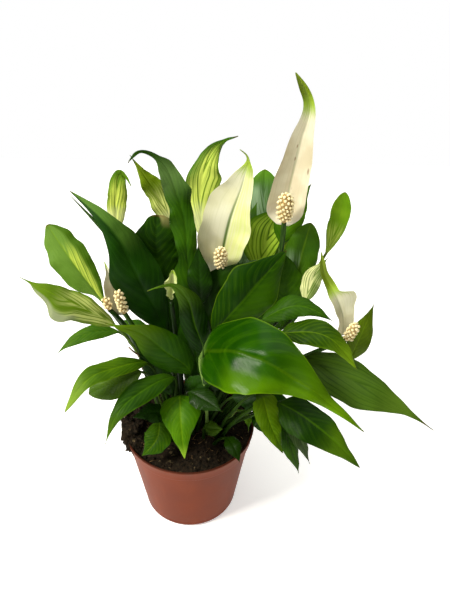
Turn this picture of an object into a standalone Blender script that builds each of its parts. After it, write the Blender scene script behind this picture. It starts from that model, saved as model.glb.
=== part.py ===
"""Potted peace lily: a young Spathiphyllum in a round plastic nursery pot.

Frame: metres, +Z up. The origin is the centre of the pot's underside, on the pot's axis.
-Y is the front, where the plant shows its largest leaf, and +X is the right-hand side.
Every leaf is one solid: its stalk (petiole) flattens into the blade. Every flower is a stalk,
a spathe (the white sail) and a spadix (the knobbly finger in front of it).
"""

import math

import bmesh
import bpy
from mathutils import Vector

MM = 0.001
GAP = 0.3  # mm between pieces that touch

# Pot: a thin turned shell with a collar under its lip. All lengths in mm.
POT_HEIGHT = 95.0
LIP_RADIUS = 60.0
LIP_ROUND = 0.9
COLLAR_HEIGHT = 12.0
COLLAR_FOOT_RADIUS = 57.8
SHOULDER_RADIUS = 56.4
SHOULDER_DROP = 1.6
BASE_RADIUS = 44.5
BASE_ROUND = 5.0
WALL = 1.6
WALL_START_HEIGHT = 9.0  # the straight part of the inner wall starts here
FLOOR_CORNER = (1.2, 2.2)  # how far in and up the inner floor's corner is cut
COLLAR_STEP = 3.0  # the height in which the inner wall widens into the collar
FOOT_RING_INNER = 34.0
RING_SLOPE = 1.0
CENTRE_DISC_RADIUS = 13.0
UNDERSIDE_RISE = 1.6
POT_STEPS = 48
DRAIN_HOLES = 6
DRAIN_RADIUS = 4.0
DRAIN_CIRCLE = 22.5

# Soil: fills the pot and is nearly level with the lip, a little higher round the crown.
SOIL_TOP = 94.0
CROWN_RADIUS = 30.0
SOIL_SLOPE = (46.0, 1.0)  # radius and drop of a point on the slope from the crown to the edge
SOIL_EDGE_DROP = 3.5
SOIL_CORNER = (3.0, 2.2)
SOIL_WALL_GAP = 0.36  # a little over GAP, because both walls have flat sides
SOIL_STEPS = 32

# Leaf solid, in mm and degrees.
PETIOLE_FOOT_RADIUS = 1.7
PETIOLE_NECK_RADIUS = 1.1
BLADE_THICKNESS = 0.8
MIDRIB_THICKNESS = 1.3
TIP_HALF_WIDTH = 0.5
SPAN_SAMPLES = 12
KNEE = (0.35, 0.35, 0.52)  # where a stalk bends, as a share of the way to its top along X, Y and Z
PETIOLE_STATIONS = (0.0, 0.25, 0.5, 0.75)
BLADE_STATIONS = (0.0, 0.05, 0.13, 0.25, 0.4, 0.55, 0.7, 0.83, 0.93)
# One ring of a leaf: how far across each corner lies (-1 to 1) and on which face (1 is the upper).
RING = ((-1, 0), (-0.5, 1), (0, 1), (0.5, 1), (1, 0), (0.5, -1), (0, -1), (-0.5, -1))

# Flower parts, in mm.
STALK_RADIUS = 1.9
STALK_STRIDE = 4  # the stalk keeps one in this many of the curve's points
SPATHE_FOOT_RADIUS = 1.0
SPADIX_STEPS = 12
# The spadix's outline, as (share of its radius, share of its length), from its waist to its foot.
SPADIX_OUTLINE = ((1.0, 0.35), (0.85, 0.08), (0.4, 0.0), (0.0, 0.0))
SPADIX_TIP = 0.6  # the tip's rounding, as a share of the radius

COLOURS = {
    "terracotta_plastic": ((0.42, 0.16, 0.10), 0.45),
    "soil": ((0.02, 0.015, 0.01), 0.95),
    "leaf_green": ((0.05, 0.16, 0.01), 0.35),
    "spathe_white": ((0.75, 0.72, 0.58), 0.5),
    "stalk_green": ((0.07, 0.15, 0.02), 0.45),
    "spadix_cream": ((0.80, 0.72, 0.42), 0.7),
}


def leaf(name, foot, path, width, faces, fold=12, curl=-18, widest=0.4, taper=1.1):
    """One row of the planting list.

    foot: x and y on the soil. path: from the blade's base over its middle to its tip, in mm.
    width: across the blade, in mm. faces: the direction that the upper side looks in.
    fold: how steeply each half rises from the midrib. curl: how much that changes towards the
    edge. widest: where along the blade the greatest width lies. taper: above 1 the tip is drawn
    out, below 1 it is blunt.
    """
    return {
        "name": name,
        "foot": foot,
        "path": path,
        "width": width,
        "faces": faces,
        "fold": fold,
        "curl": curl,
        "widest": widest,
        "taper": taper,
    }


LEAVES = (
    # Left side, from the top down.
    leaf("leaf_01", (-13, 15), ((-55, 55, 270), (-60, 58, 296), (-55, 60, 315), (-50, 57, 308)), 16,
         (0.2, -0.9, 0.3), widest=0.4, taper=1.2),
    leaf("leaf_02", (-11, 7), ((-18, 5, 196), (-34, 3, 244), (-50, 5, 285), (-85, 20, 314)), 42,
         (0.6, -0.8, 0.2), widest=0.42, taper=2.2),
    leaf("leaf_03", (-18, 7), ((-69, 10, 221), (-91, 20, 252), (-114, 36, 278)), 29,
         (0.5, -0.9, 0.2), widest=0.5, taper=0.8),
    leaf("leaf_04", (-20, -3), ((-60, -15, 212), (-77, -22, 237), (-95, -25, 250), (-116, -20, 260)),
         27, (0.2, -0.7, 0.7), curl=-35, widest=0.4, taper=1.5),
    leaf("leaf_05", (-23, 3), ((-58, 15, 186), (-82, 8, 190), (-112, -5, 177)), 13,
         (0.1, -0.5, 0.9), taper=1.4),
    leaf("leaf_06", (-17, -6), ((-32, -18, 180), (-54, -40, 194), (-69, -57, 197), (-89, -71, 176)),
         18, (-0.2, -0.6, 0.8), widest=0.45, taper=1.5),
    leaf("leaf_07", (-21, -11), ((-36, -25, 177), (-57, -40, 178), (-75, -50, 175)), 25,
         (0.0, -0.6, 0.8), widest=0.55, taper=0.7),
    leaf("leaf_08", (-13, -13), ((-8, -20, 165), (-31, -43, 170), (-49, -60, 166), (-59, -72, 150)),
         19, (-0.2, -0.7, 0.7), taper=1.4),
    leaf("leaf_09", (-8, -9), ((3, -10, 163), (-18, -19, 196), (-34, -29, 220), (-56, -40, 235)), 29,
         (0.2, -0.9, 0.4), widest=0.35, taper=1.6),
    # Front, low over the lip.
    leaf("leaf_10", (-3, -17), ((-6, -22, 146), (-3, -41, 141), (0, -62, 117)), 31,
         (0.0, -0.8, 0.6), widest=0.35, taper=1.3),
    leaf("leaf_11", (-15, -22), ((-23, -30, 126), (-24, -42, 120), (-36, -52, 107)), 22,
         (0.0, -0.8, 0.6), taper=1.0),
    leaf("leaf_12", (4, -14), ((8, -22, 141), (16, -31, 142), (28, -40, 137)), 20,
         (0.2, -0.6, 0.8), taper=1.3),
    leaf("leaf_13", (14, -18), ((15, -22, 112), (22, -27, 115), (31, -31, 119)), 13,
         (0.0, -0.8, 0.6)),
    leaf("leaf_14", (24, -25), ((34, -31, 108), (40, -42, 111), (46, -52, 101)), 14,
         (0.2, -0.8, 0.6)),
    leaf("leaf_15", (17, -13), ((17, -33, 204), (58, -65, 225), (94, -80, 211), (134, -90, 180)), 61,
         (0.1, -0.7, 0.7), widest=0.28, taper=2.6),
    # Middle.
    leaf("leaf_16", (7, -6), ((22, -10, 205), (47, 0, 235), (78, 15, 271)), 44,
         (0.2, -0.9, 0.3), widest=0.5, taper=1.0),
    leaf("leaf_17", (3, 2), ((14, 8, 179), (23, 13, 219), (54, 16, 252)), 40,
         (0.0, -0.9, 0.3), taper=1.3),
    leaf("leaf_18", (-2, -8), ((16, -20, 189), (8, -24, 225), (2, -28, 253), (-8, -33, 267),
                               (-25, -40, 266)), 22, (0.0, -0.9, 0.3), widest=0.35, taper=1.5),
    leaf("leaf_19", (-3, 5), ((5, 12, 224), (0, 20, 271), (-8, 28, 310), (-18, 30, 335),
                              (-29, 26, 346), (-39, 15, 342)), 25,
         (0.2, -0.9, 0.2), widest=0.4, taper=2.0),
    leaf("leaf_20", (-8, 12), ((-14, 21, 217), (-25, 27, 253), (-26, 31, 288)), 38,
         (0.1, -0.9, 0.2), taper=0.9),
    leaf("leaf_21", (-7, 19), ((-13, 41, 277), (-24, 44, 304), (-34, 43, 321), (-42, 38, 336)), 19,
         (0.1, -0.9, 0.3), widest=0.35, taper=1.6),
    # Back, upright.
    leaf("leaf_22", (1, 14), ((12, 45, 263), (9, 55, 299), (13, 60, 321), (22, 60, 338),
                              (33, 52, 349)), 25, (0.0, -0.9, 0.2), widest=0.4, taper=1.6),
    leaf("leaf_23", (12, 22), ((63, 60, 246), (61, 68, 285), (60, 75, 312)), 26,
         (0.0, -0.9, 0.2), widest=0.6, taper=0.7),
    leaf("leaf_24", (14, 17), ((64, 40, 242), (69, 48, 267), (89, 55, 285)), 34,
         (0.0, -0.9, 0.3), taper=1.2),
    leaf("leaf_25", (16, 6), ((86, 18, 219), (90, 24, 253), (96, 30, 285)), 26,
         (-0.2, -0.9, 0.2), widest=0.6, taper=0.7),
    leaf("leaf_26", (22, 14), ((114, 40, 255), (121, 42, 280), (126, 45, 306)), 14,
         (-0.3, -0.9, 0.2), widest=0.5, taper=0.9),
    leaf("leaf_27", (20, 4), ((96, 9, 226), (101, 12, 246), (111, 10, 268)), 16,
         (-0.3, -0.9, 0.2), widest=0.4, taper=1.4),
    # Right side, from the top down.
    leaf("leaf_28", (25, 7), ((139, 15, 160), (147, 15, 189), (155, 20, 218)), 20,
         (-0.4, -0.9, 0.2), taper=1.4),
    leaf("leaf_29", (13, -2), ((61, -5, 217), (90, -8, 233), (117, -16, 225)), 19,
         (0.2, -0.6, 0.8), taper=1.3),
    leaf("leaf_30", (14, -9), ((79, -20, 213), (109, -30, 220), (134, -42, 200)), 24,
         (0.2, -0.6, 0.8), taper=1.3),
    leaf("leaf_31", (22, -5), ((94, -28, 193), (128, -46, 192), (164, -58, 178), (193, -64, 160)), 37,
         (0.1, -0.6, 0.8), widest=0.33, taper=2.6),
    leaf("leaf_32", (25, -17), ((63, -48, 172), (68, -62, 160), (78, -72, 137)), 16,
         (0.3, -0.8, 0.5), taper=1.4),
    leaf("leaf_33", (29, -19), ((79, -50, 167), (107, -72, 165), (137, -88, 140)), 31,
         (0.2, -0.7, 0.7), widest=0.38, taper=1.9),
    leaf("leaf_34", (30, -12), ((80, -48, 143), (89, -55, 125), (96, -60, 101)), 13,
         (0.5, -0.8, 0.3), taper=1.4),
    leaf("leaf_35", (31, -6), ((80, -45, 154), (92, -55, 138), (103, -62, 116)), 13,
         (0.5, -0.7, 0.5), taper=1.6),
    leaf("leaf_36", (34, -2), ((44, -5, 116), (52, -12, 118), (54, -22, 108)), 9,
         (0.5, -0.5, 0.8)),
    # Back, where the foliage arches away from the front.
    leaf("leaf_37", (-14, 22), ((-25, 50, 175), (-38, 80, 180), (-50, 115, 140)), 36,
         (-0.3, 0.6, 0.8), widest=0.35, taper=1.7),
    leaf("leaf_38", (2, 27), ((5, 52, 185), (8, 85, 190), (5, 125, 150)), 40,
         (0.0, 0.6, 0.8), widest=0.35, taper=1.7),
    leaf("leaf_39", (12, 28), ((35, 50, 170), (52, 75, 175), (70, 105, 140)), 34,
         (0.3, 0.6, 0.8), widest=0.35, taper=1.7),
    leaf("leaf_40", (-4, 29), ((0, 48, 205), (2, 74, 222), (6, 104, 222)), 32,
         (0.0, 0.3, 0.9), taper=1.5),
    leaf("leaf_41", (18, 11), ((76, 37, 265), (84, 44, 290), (98, 47, 314)), 24,
         (-0.1, -0.9, 0.2), taper=1.2),
    leaf("leaf_42", (21, 20), ((58, 28, 178), (78, 48, 185), (100, 75, 165)), 28,
         (0.3, 0.2, 0.9), taper=1.5),
)


def flower(name, foot, base, path, width, faces, spadix_tip, spadix_radius,
           fold=35, curl=30, widest=0.35, taper=1.1):
    """One flower: its stalk's foot on the soil and its top, then the spathe's path from there,
    the spathe's width and the way its inside faces, and the spadix's tip and radius, in mm."""
    return {
        "name": name,
        "foot": foot,
        "base": base,
        "path": path,
        "width": width,
        "faces": faces,
        "spadix_tip": spadix_tip,
        "spadix_radius": spadix_radius,
        "fold": fold,
        "curl": curl,
        "widest": widest,
        "taper": taper,
    }


FLOWERS = (
    flower("flower_a", (4, 11), (27, 25, 249), ((27, 29, 249), (32, 36, 290), (41, 47, 317), (45, 46, 337)),
           42, (0.1, -0.9, 0.3), (27, 8, 274), 5.5, fold=12, curl=15, widest=0.38, taper=0.95),
    flower("flower_b", (9, 17), (75, 19, 292), ((75, 23, 291), (80, 34, 322), (85, 36, 353),
                                               (88, 34, 379), (76, 26, 403)),
           38, (-0.1, -0.9, 0.2), (74, 4, 325), 6.5, fold=15, curl=25, widest=0.2, taper=2.1),
    flower("flower_c", (24, 1), (132, -5, 195), ((131, -1, 195), (127, -2, 222), (120, 0, 244),
                                                 (112, 4, 259), (106, 8, 272)),
           24, (0.4, -0.9, 0.2), (134, -16, 216), 4.6, fold=15, curl=25, widest=0.35, taper=1.7),
    flower("flower_d", (-5, 0), (-12, -2, 232), ((-12, 1, 232), (-12, 2, 246), (-10, 2, 259)),
           17, (0.0, -0.9, 0.3), None, 0, fold=30, curl=20, widest=0.45, taper=0.8),
    flower("flower_e", (-14, 0), (-49, -6, 219), ((-49, -2, 218), (-56, 2, 241), (-63, 6, 263)),
           17, (0.2, -0.9, 0.2), (-51, -17, 246), 4.2, fold=20, curl=20),
    flower("flower_f", (-25, -1), (-60, -2, 220), None, 0, (0, -1, 0), (-63, -6, 237), 3.6),
)


# ---------------------------------------------------------------- curves and frames


def smooth_path(points):
    """A smooth curve through the points, as a list of close points (cubic Hermite spans)."""
    gaps = [(b - a).length for a, b in zip(points, points[1:])]
    slopes = [(b - a) / gap for a, b, gap in zip(points, points[1:], gaps)]
    tangents = [slopes[0]]
    for i in range(1, len(slopes)):
        share = gaps[i - 1] / (gaps[i - 1] + gaps[i])
        tangents.append(slopes[i - 1].lerp(slopes[i], share))
    tangents.append(slopes[-1])
    if len(slopes) > 1:
        tangents[0] = slopes[0] * 1.5 - tangents[1] * 0.5
        tangents[-1] = slopes[-1] * 1.5 - tangents[-2] * 0.5
    curve = [points[0]]
    for i, gap in enumerate(gaps):
        for step in range(1, SPAN_SAMPLES + 1):
            u = step / SPAN_SAMPLES
            start, end = points[i], points[i + 1]
            curve.append(
                start * (2 * u**3 - 3 * u**2 + 1)
                + tangents[i] * gap * (u**3 - 2 * u**2 + u)
                + end * (3 * u**2 - 2 * u**3)
                + tangents[i + 1] * gap * (u**3 - u**2)
            )
    return curve


def lengths_along(curve):
    """The distance of each point of the curve from its start."""
    total = [0.0]
    for a, b in zip(curve, curve[1:]):
        total.append(total[-1] + (b - a).length)
    return total


def frames_along(curve, middle, faces):
    """(tangent, side) at each point. The side is square to the faces direction at the middle point
    and turns no more than the curve does on the way to both ends."""
    tangents = []
    for i in range(len(curve)):
        ahead, behind = curve[min(i + 1, len(curve) - 1)], curve[max(i - 1, 0)]
        tangents.append((ahead - behind).normalized())
    sides = [None] * len(curve)
    sides[middle] = tangents[middle].cross(faces).normalized()
    for order in (range(middle + 1, len(curve)), range(middle - 1, -1, -1)):
        side = sides[middle]
        for i in order:
            side = (side - tangents[i] * side.dot(tangents[i])).normalized()
            sides[i] = side
    return tangents, sides


def station(curve, lengths, tangents, sides, distance):
    """(point, side, normal) at a distance along the curve."""
    i = 0
    while i < len(lengths) - 2 and lengths[i + 1] < distance:
        i += 1
    share = (distance - lengths[i]) / (lengths[i + 1] - lengths[i])
    point = curve[i].lerp(curve[i + 1], share)
    tangent = tangents[i].lerp(tangents[i + 1], share).normalized()
    side = sides[i].lerp(sides[i + 1], share)
    side = (side - tangent * side.dot(tangent)).normalized()
    return point, side, side.cross(tangent)


# ---------------------------------------------------------------- blades


def blade_shape(t, widest, taper):
    """The half width at t along the blade, as a share of the greatest half width."""
    if t <= 0 or t >= 1:
        return 0.0
    rise = taper * widest / (1 - widest)
    return (t / widest) ** rise * ((1 - t) / (1 - widest)) ** taper


def ring_corners(row, point, side, normal, t, radius):
    """The eight corners of the leaf's section: round on the stalk (t is None), flat on the blade."""
    half_width, half_middle, half_inner = radius, radius, radius * math.sqrt(0.75)
    lift = 0.0
    if t is not None:
        ease = min(1.0, t / BLADE_STATIONS[2])
        half_width = max(row["width"] / 2 * blade_shape(t, row["widest"], row["taper"]), TIP_HALF_WIDTH)
        half_width = max(half_width, radius * (1 - ease))
        half_middle = radius + (MIDRIB_THICKNESS / 2 * (1 - 0.5 * t) - radius) * ease
        half_inner = half_inner + (BLADE_THICKNESS / 2 * (1 - 0.5 * t) - half_inner) * ease
        lift = ease
    corners = []
    for across, face in RING:
        angle = math.radians(row["fold"] + row["curl"] * abs(across)) * lift
        flat = half_width * across * math.cos(angle)
        rise = half_width * abs(across) * math.sin(angle)
        rise += face * (half_middle if across == 0 else half_inner)
        corners.append(point + side * flat + normal * rise)
    return corners


def loft(rings, tip):
    """A closed solid through the rings, with a flat foot and a point at the tip."""
    shape = bmesh.new()
    loops = [[shape.verts.new(corner * MM) for corner in ring] for ring in rings]
    count = len(RING)
    for lower, upper in zip(loops, loops[1:]):
        for k in range(count):
            after = (k + 1) % count
            shape.faces.new((lower[k], lower[after], upper[after], upper[k]))
    apex = shape.verts.new(tip * MM)
    for k in range(count):
        shape.faces.new((loops[-1][k], loops[-1][(k + 1) % count], apex))
    shape.faces.new(loops[0])
    bmesh.ops.recalc_face_normals(shape, faces=shape.faces)
    return shape


def knee_between(foot, top):
    """Where a stalk that rises steeply from its foot bends outwards."""
    return Vector([low + (high - low) * share for low, high, share in zip(foot, top, KNEE)])


def level_ring(ring, tangent, height):
    """The ring slid along the tangent until it lies level at the height."""
    return [corner + tangent * ((height - corner.z) / tangent.z) for corner in ring]


def leaf_solid(row):
    """The leaf's stalk and blade, lofted as one piece."""
    foot = Vector((*row["foot"], SOIL_TOP + GAP))
    blade = [Vector(point) for point in row["path"]]
    curve = smooth_path([foot, knee_between(foot, blade[0]), *blade])
    lengths = lengths_along(curve)
    neck = lengths[2 * SPAN_SAMPLES]
    middle = (2 * SPAN_SAMPLES + len(curve)) // 2
    tangents, sides = frames_along(curve, middle, Vector(row["faces"]))
    rings = []
    for share in PETIOLE_STATIONS:
        radius = PETIOLE_FOOT_RADIUS + (PETIOLE_NECK_RADIUS - PETIOLE_FOOT_RADIUS) * share
        place = station(curve, lengths, tangents, sides, neck * share)
        rings.append(ring_corners(row, *place, None, radius))
    rings[0] = level_ring(rings[0], tangents[0], foot.z)
    for t in BLADE_STATIONS:
        place = station(curve, lengths, tangents, sides, neck + (lengths[-1] - neck) * t)
        rings.append(ring_corners(row, *place, t, PETIOLE_NECK_RADIUS))
    return loft(rings, curve[-1])


def spathe_solid(row):
    """The cupped white leaf behind the spadix."""
    curve = smooth_path([Vector(point) for point in row["path"]])
    lengths = lengths_along(curve)
    tangents, sides = frames_along(curve, len(curve) // 3, Vector(row["faces"]))
    rings = []
    for t in BLADE_STATIONS:
        place = station(curve, lengths, tangents, sides, lengths[-1] * t)
        rings.append(ring_corners(row, *place, t, SPATHE_FOOT_RADIUS))
    return loft(rings, curve[-1])


# ---------------------------------------------------------------- objects


def clear_scene():
    for obj in list(bpy.data.objects):
        bpy.data.objects.remove(obj, do_unlink=True)


def new_collection(name):
    collection = bpy.data.collections.new(name)
    bpy.context.scene.collection.children.link(collection)
    return collection


def material(name):
    """The named material, made from COLOURS the first time."""
    found = bpy.data.materials.get(name)
    if found:
        return found
    colour, roughness = COLOURS[name]
    made = bpy.data.materials.new(name)
    made.use_nodes = True
    shader = made.node_tree.nodes["Principled BSDF"]
    shader.inputs["Base Color"].default_value = (*colour, 1.0)
    shader.inputs["Roughness"].default_value = roughness
    shader.inputs["Metallic"].default_value = 0.0
    return made


def add_object(name, data, collection, material_name):
    obj = bpy.data.objects.new(name, data)
    collection.objects.link(obj)
    data.materials.append(material(material_name))
    return obj


def add_shape(name, shape, collection, material_name):
    """An object from a bmesh, shaded smooth."""
    mesh = bpy.data.meshes.new(name)
    shape.to_mesh(mesh)
    shape.free()
    mesh.shade_smooth()
    return add_object(name, mesh, collection, material_name)


def turned(name, profile, steps, collection, material_name):
    """A solid of revolution about +Z from an open profile of (radius, height) in mm."""
    mesh = bpy.data.meshes.new(name)
    points = [(radius * MM, 0.0, height * MM) for radius, height in profile]
    edges = [(i, i + 1) for i in range(len(points) - 1)]
    mesh.from_pydata(points, edges, [])
    obj = add_object(name, mesh, collection, material_name)
    screw = obj.modifiers.new("turn", "SCREW")
    screw.steps = steps
    screw.render_steps = steps
    screw.use_merge_vertices = True
    screw.merge_threshold = 0.00001
    screw.use_smooth_shade = True
    return obj


def arc(centre, radius, start, end, steps):
    """Points of an arc in the profile's plane. Angles in degrees, from +X towards +Z."""
    points = []
    for i in range(steps + 1):
        angle = math.radians(start + (end - start) * i / steps)
        points.append((centre[0] + radius * math.cos(angle), centre[1] + radius * math.sin(angle)))
    return points


def inner_wall_radius(height):
    """The pot's inner radius at a height, in mm: the outer taper less the wall."""
    share = (height - BASE_ROUND) / (POT_HEIGHT - COLLAR_HEIGHT - BASE_ROUND)
    return BASE_RADIUS + (SHOULDER_RADIUS - BASE_RADIUS) * max(share, 0.0) - WALL


def pot_profile():
    """From the middle of the floor up the inside, over the lip, down the outside and underneath."""
    floor = UNDERSIDE_RISE + WALL
    shoulder = POT_HEIGHT - COLLAR_HEIGHT
    inner_top = inner_wall_radius(shoulder)
    lip_centre = (LIP_RADIUS - LIP_ROUND, POT_HEIGHT - LIP_ROUND)
    profile = [(0.0, floor), (BASE_RADIUS - BASE_ROUND, floor)]
    profile += [(inner_wall_radius(BASE_ROUND) - FLOOR_CORNER[0], floor + FLOOR_CORNER[1])]
    profile += [(inner_wall_radius(WALL_START_HEIGHT), WALL_START_HEIGHT), (inner_top, shoulder)]
    profile += [(LIP_RADIUS - 2 * LIP_ROUND, shoulder + COLLAR_STEP)]
    profile += [(LIP_RADIUS - 2 * LIP_ROUND, POT_HEIGHT - LIP_ROUND)]
    profile += arc(lip_centre, LIP_ROUND, 135, 0, 3)
    profile += [(COLLAR_FOOT_RADIUS, shoulder), (SHOULDER_RADIUS, shoulder - SHOULDER_DROP)]
    profile += arc((BASE_RADIUS - BASE_ROUND, BASE_ROUND), BASE_ROUND, 0, -90, 5)
    profile += [(FOOT_RING_INNER, 0.0), (FOOT_RING_INNER - RING_SLOPE, UNDERSIDE_RISE)]
    profile += [(CENTRE_DISC_RADIUS + RING_SLOPE, UNDERSIDE_RISE), (CENTRE_DISC_RADIUS, 0.0), (0.0, 0.0)]
    return profile


def drill(obj, place, radius, depth, cutters):
    """Cut a round hole along Z."""
    bpy.ops.mesh.primitive_cylinder_add(vertices=16, radius=radius * MM, depth=depth * MM)
    cutter = bpy.context.object
    cutter.name = "drill_" + str(len(cutters.objects))
    cutter.location = Vector(place) * MM
    for owner in list(cutter.users_collection):
        owner.objects.unlink(cutter)
    cutters.objects.link(cutter)
    cutter.hide_render = True
    cutter.display_type = "WIRE"
    cut = obj.modifiers.new(cutter.name, "BOOLEAN")
    cut.operation = "DIFFERENCE"
    cut.solver = "EXACT"
    cut.object = cutter


def build_pot(plant, cutters):
    pot = turned("nursery_pot", pot_profile(), POT_STEPS, plant, "terracotta_plastic")
    for i in range(DRAIN_HOLES):
        angle = 2 * math.pi * (i + 0.5) / DRAIN_HOLES
        place = (DRAIN_CIRCLE * math.cos(angle), DRAIN_CIRCLE * math.sin(angle), UNDERSIDE_RISE)
        drill(pot, place, DRAIN_RADIUS, 6 * WALL, cutters)


def build_soil(plant):
    floor = UNDERSIDE_RISE + WALL + GAP
    shoulder = POT_HEIGHT - COLLAR_HEIGHT
    rim = LIP_RADIUS - 2 * LIP_ROUND - SOIL_WALL_GAP
    profile = [(0.0, SOIL_TOP), (CROWN_RADIUS, SOIL_TOP), (SOIL_SLOPE[0], SOIL_TOP - SOIL_SLOPE[1])]
    profile += [(rim, SOIL_TOP - SOIL_EDGE_DROP), (rim, shoulder + COLLAR_STEP + GAP)]
    profile += [(inner_wall_radius(shoulder) - SOIL_WALL_GAP, shoulder)]
    profile += [(inner_wall_radius(WALL_START_HEIGHT) - SOIL_WALL_GAP, WALL_START_HEIGHT)]
    profile += [(inner_wall_radius(BASE_ROUND) - SOIL_CORNER[0], floor + SOIL_CORNER[1])]
    profile += [(BASE_RADIUS - BASE_ROUND - RING_SLOPE, floor), (0.0, floor)]
    turned("potting_soil", profile, SOIL_STEPS, plant, "soil")


def build_stalk(row, plant):
    """The flower's stalk: a tube from the soil to just under the spathe and the spadix."""
    foot = Vector((*row["foot"], SOIL_TOP + GAP))
    top = Vector(row["base"])
    knee = knee_between(foot, top)
    lean = knee - foot
    foot.z += STALK_RADIUS * math.hypot(lean.x, lean.y) / lean.length
    curve = smooth_path([foot, knee, top])
    data = bpy.data.curves.new(row["name"] + "_stalk", "CURVE")
    data.dimensions = "3D"
    data.bevel_depth = STALK_RADIUS * MM
    data.bevel_resolution = 2
    data.use_fill_caps = True
    kept = curve[::STALK_STRIDE]
    spline = data.splines.new("POLY")
    spline.points.add(len(kept) - 1)
    for point, place in zip(spline.points, kept):
        point.co = (*(place * MM), 1.0)
    add_object(row["name"] + "_stalk", data, plant, "stalk_green")


def build_spadix(row, plant):
    """The spadix: a blunt tapered finger, turned about +Z and then laid along its direction."""
    base = Vector(row["base"])
    direction = Vector(row["spadix_tip"]) - base
    gap = STALK_RADIUS + 2 * GAP
    length = direction.length - gap
    radius = row["spadix_radius"]
    tip_radius = SPADIX_TIP * radius
    profile = [(0.0, length), *arc((0.0, length - tip_radius), tip_radius, 65, 0, 3)]
    profile += [(radius * out, length * along) for out, along in SPADIX_OUTLINE]
    obj = turned(row["name"] + "_spadix", profile, SPADIX_STEPS, plant, "spadix_cream")
    obj.rotation_mode = "QUATERNION"
    obj.rotation_quaternion = Vector((0, 0, 1)).rotation_difference(direction)
    obj.location = (base + direction.normalized() * gap) * MM


def main():
    clear_scene()
    plant = new_collection("potted_peace_lily")
    cutters = new_collection("cutters")
    build_pot(plant, cutters)
    build_soil(plant)
    for row in LEAVES:
        add_shape(row["name"], leaf_solid(row), plant, "leaf_green")
    for row in FLOWERS:
        build_stalk(row, plant)
        if row["path"]:
            add_shape(row["name"] + "_spathe", spathe_solid(row), plant, "spathe_white")
        if row["spadix_tip"]:
            build_spadix(row, plant)


main()
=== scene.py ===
"""Looks for the potted peace lily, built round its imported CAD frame.

Every leaf, stalk, spathe and spadix is its own piece and stands for the CAD node of the same
name. Lengths are in mm and colours are screen values (0 to 255) until they reach Blender.
"""

import math
import random
from dataclasses import dataclass

import bpy
from mathutils import Matrix, Vector, noise


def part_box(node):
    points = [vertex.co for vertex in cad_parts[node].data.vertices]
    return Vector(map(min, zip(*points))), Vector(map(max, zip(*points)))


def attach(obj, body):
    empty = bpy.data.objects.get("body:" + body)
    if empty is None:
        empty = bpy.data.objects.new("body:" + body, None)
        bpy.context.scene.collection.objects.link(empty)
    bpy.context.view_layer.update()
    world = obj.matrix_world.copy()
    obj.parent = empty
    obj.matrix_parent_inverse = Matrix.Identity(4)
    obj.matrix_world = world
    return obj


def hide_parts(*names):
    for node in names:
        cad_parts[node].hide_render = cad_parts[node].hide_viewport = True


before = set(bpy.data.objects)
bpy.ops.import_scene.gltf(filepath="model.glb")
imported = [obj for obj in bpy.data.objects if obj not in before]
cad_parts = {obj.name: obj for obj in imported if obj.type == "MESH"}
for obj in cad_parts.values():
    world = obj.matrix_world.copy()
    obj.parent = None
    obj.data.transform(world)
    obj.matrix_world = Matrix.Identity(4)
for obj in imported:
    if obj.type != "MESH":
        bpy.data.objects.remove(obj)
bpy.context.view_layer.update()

MM = 0.001
BODY = "root"

# ---------------------------------------------------------------- looks of the leaves

DEEP = (16, 46, 1)
MID = (44, 86, 2)
BRIGHT = (74, 116, 2)
LIME = (108, 142, 12)
YELLOW_GREEN = (154, 184, 52)
CREAM = (226, 226, 180)
GREY_GREEN = (104, 122, 82)
PETIOLE = (34, 55, 10)
PETIOLE_PALE = (122, 152, 74)
TIP_BROWN = (96, 66, 36)


@dataclass
class Streaks:
    """Variegation, and on leaf_23 and leaf_25 painted sheen. Places are shares: along from the base (0)
    to the tip (1), across from the midrib (0) to the margin (1). side: -1 left, 1 right, 0 both."""

    colour: tuple
    along: tuple = (-0.2, 0.8)
    across: tuple = (-0.2, 0.95)
    cover: float = 0.8  # how much of that place is streaked
    count: float = 2.2  # dark lines along the leaf
    side: int = 0
    share: float = 0.9


@dataclass
class Look:
    """How a leaf is coloured. A share says how strong a colour is."""

    dark: tuple
    light: tuple
    vein_tone: tuple = None  # the colour of the blade between the veins
    veins: float = 11  # lateral veins along one side
    slant: float = 0.3  # how far along the leaf a vein gets on its way to the margin
    vein_share: float = 0.14
    rib: tuple = None
    rib_share: float = 0.3
    margin: tuple = None
    margin_share: float = 0.35
    margin_width: float = 0.08
    tip: tuple = None
    tip_from: float = 0.75
    hair: float = 0.988  # where the brown end of the tip starts
    rough: float = 0.4
    gloss: float = 0.05
    stem: tuple = PETIOLE
    streaks: Streaks = None
    # The pale patches on leaf_19, leaf_23 and leaf_25 are painted sheen; the others are the leaves' own
    # tones.
    patches: tuple = ()  # soft areas: (colour, side, across range, along range, share)


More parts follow.
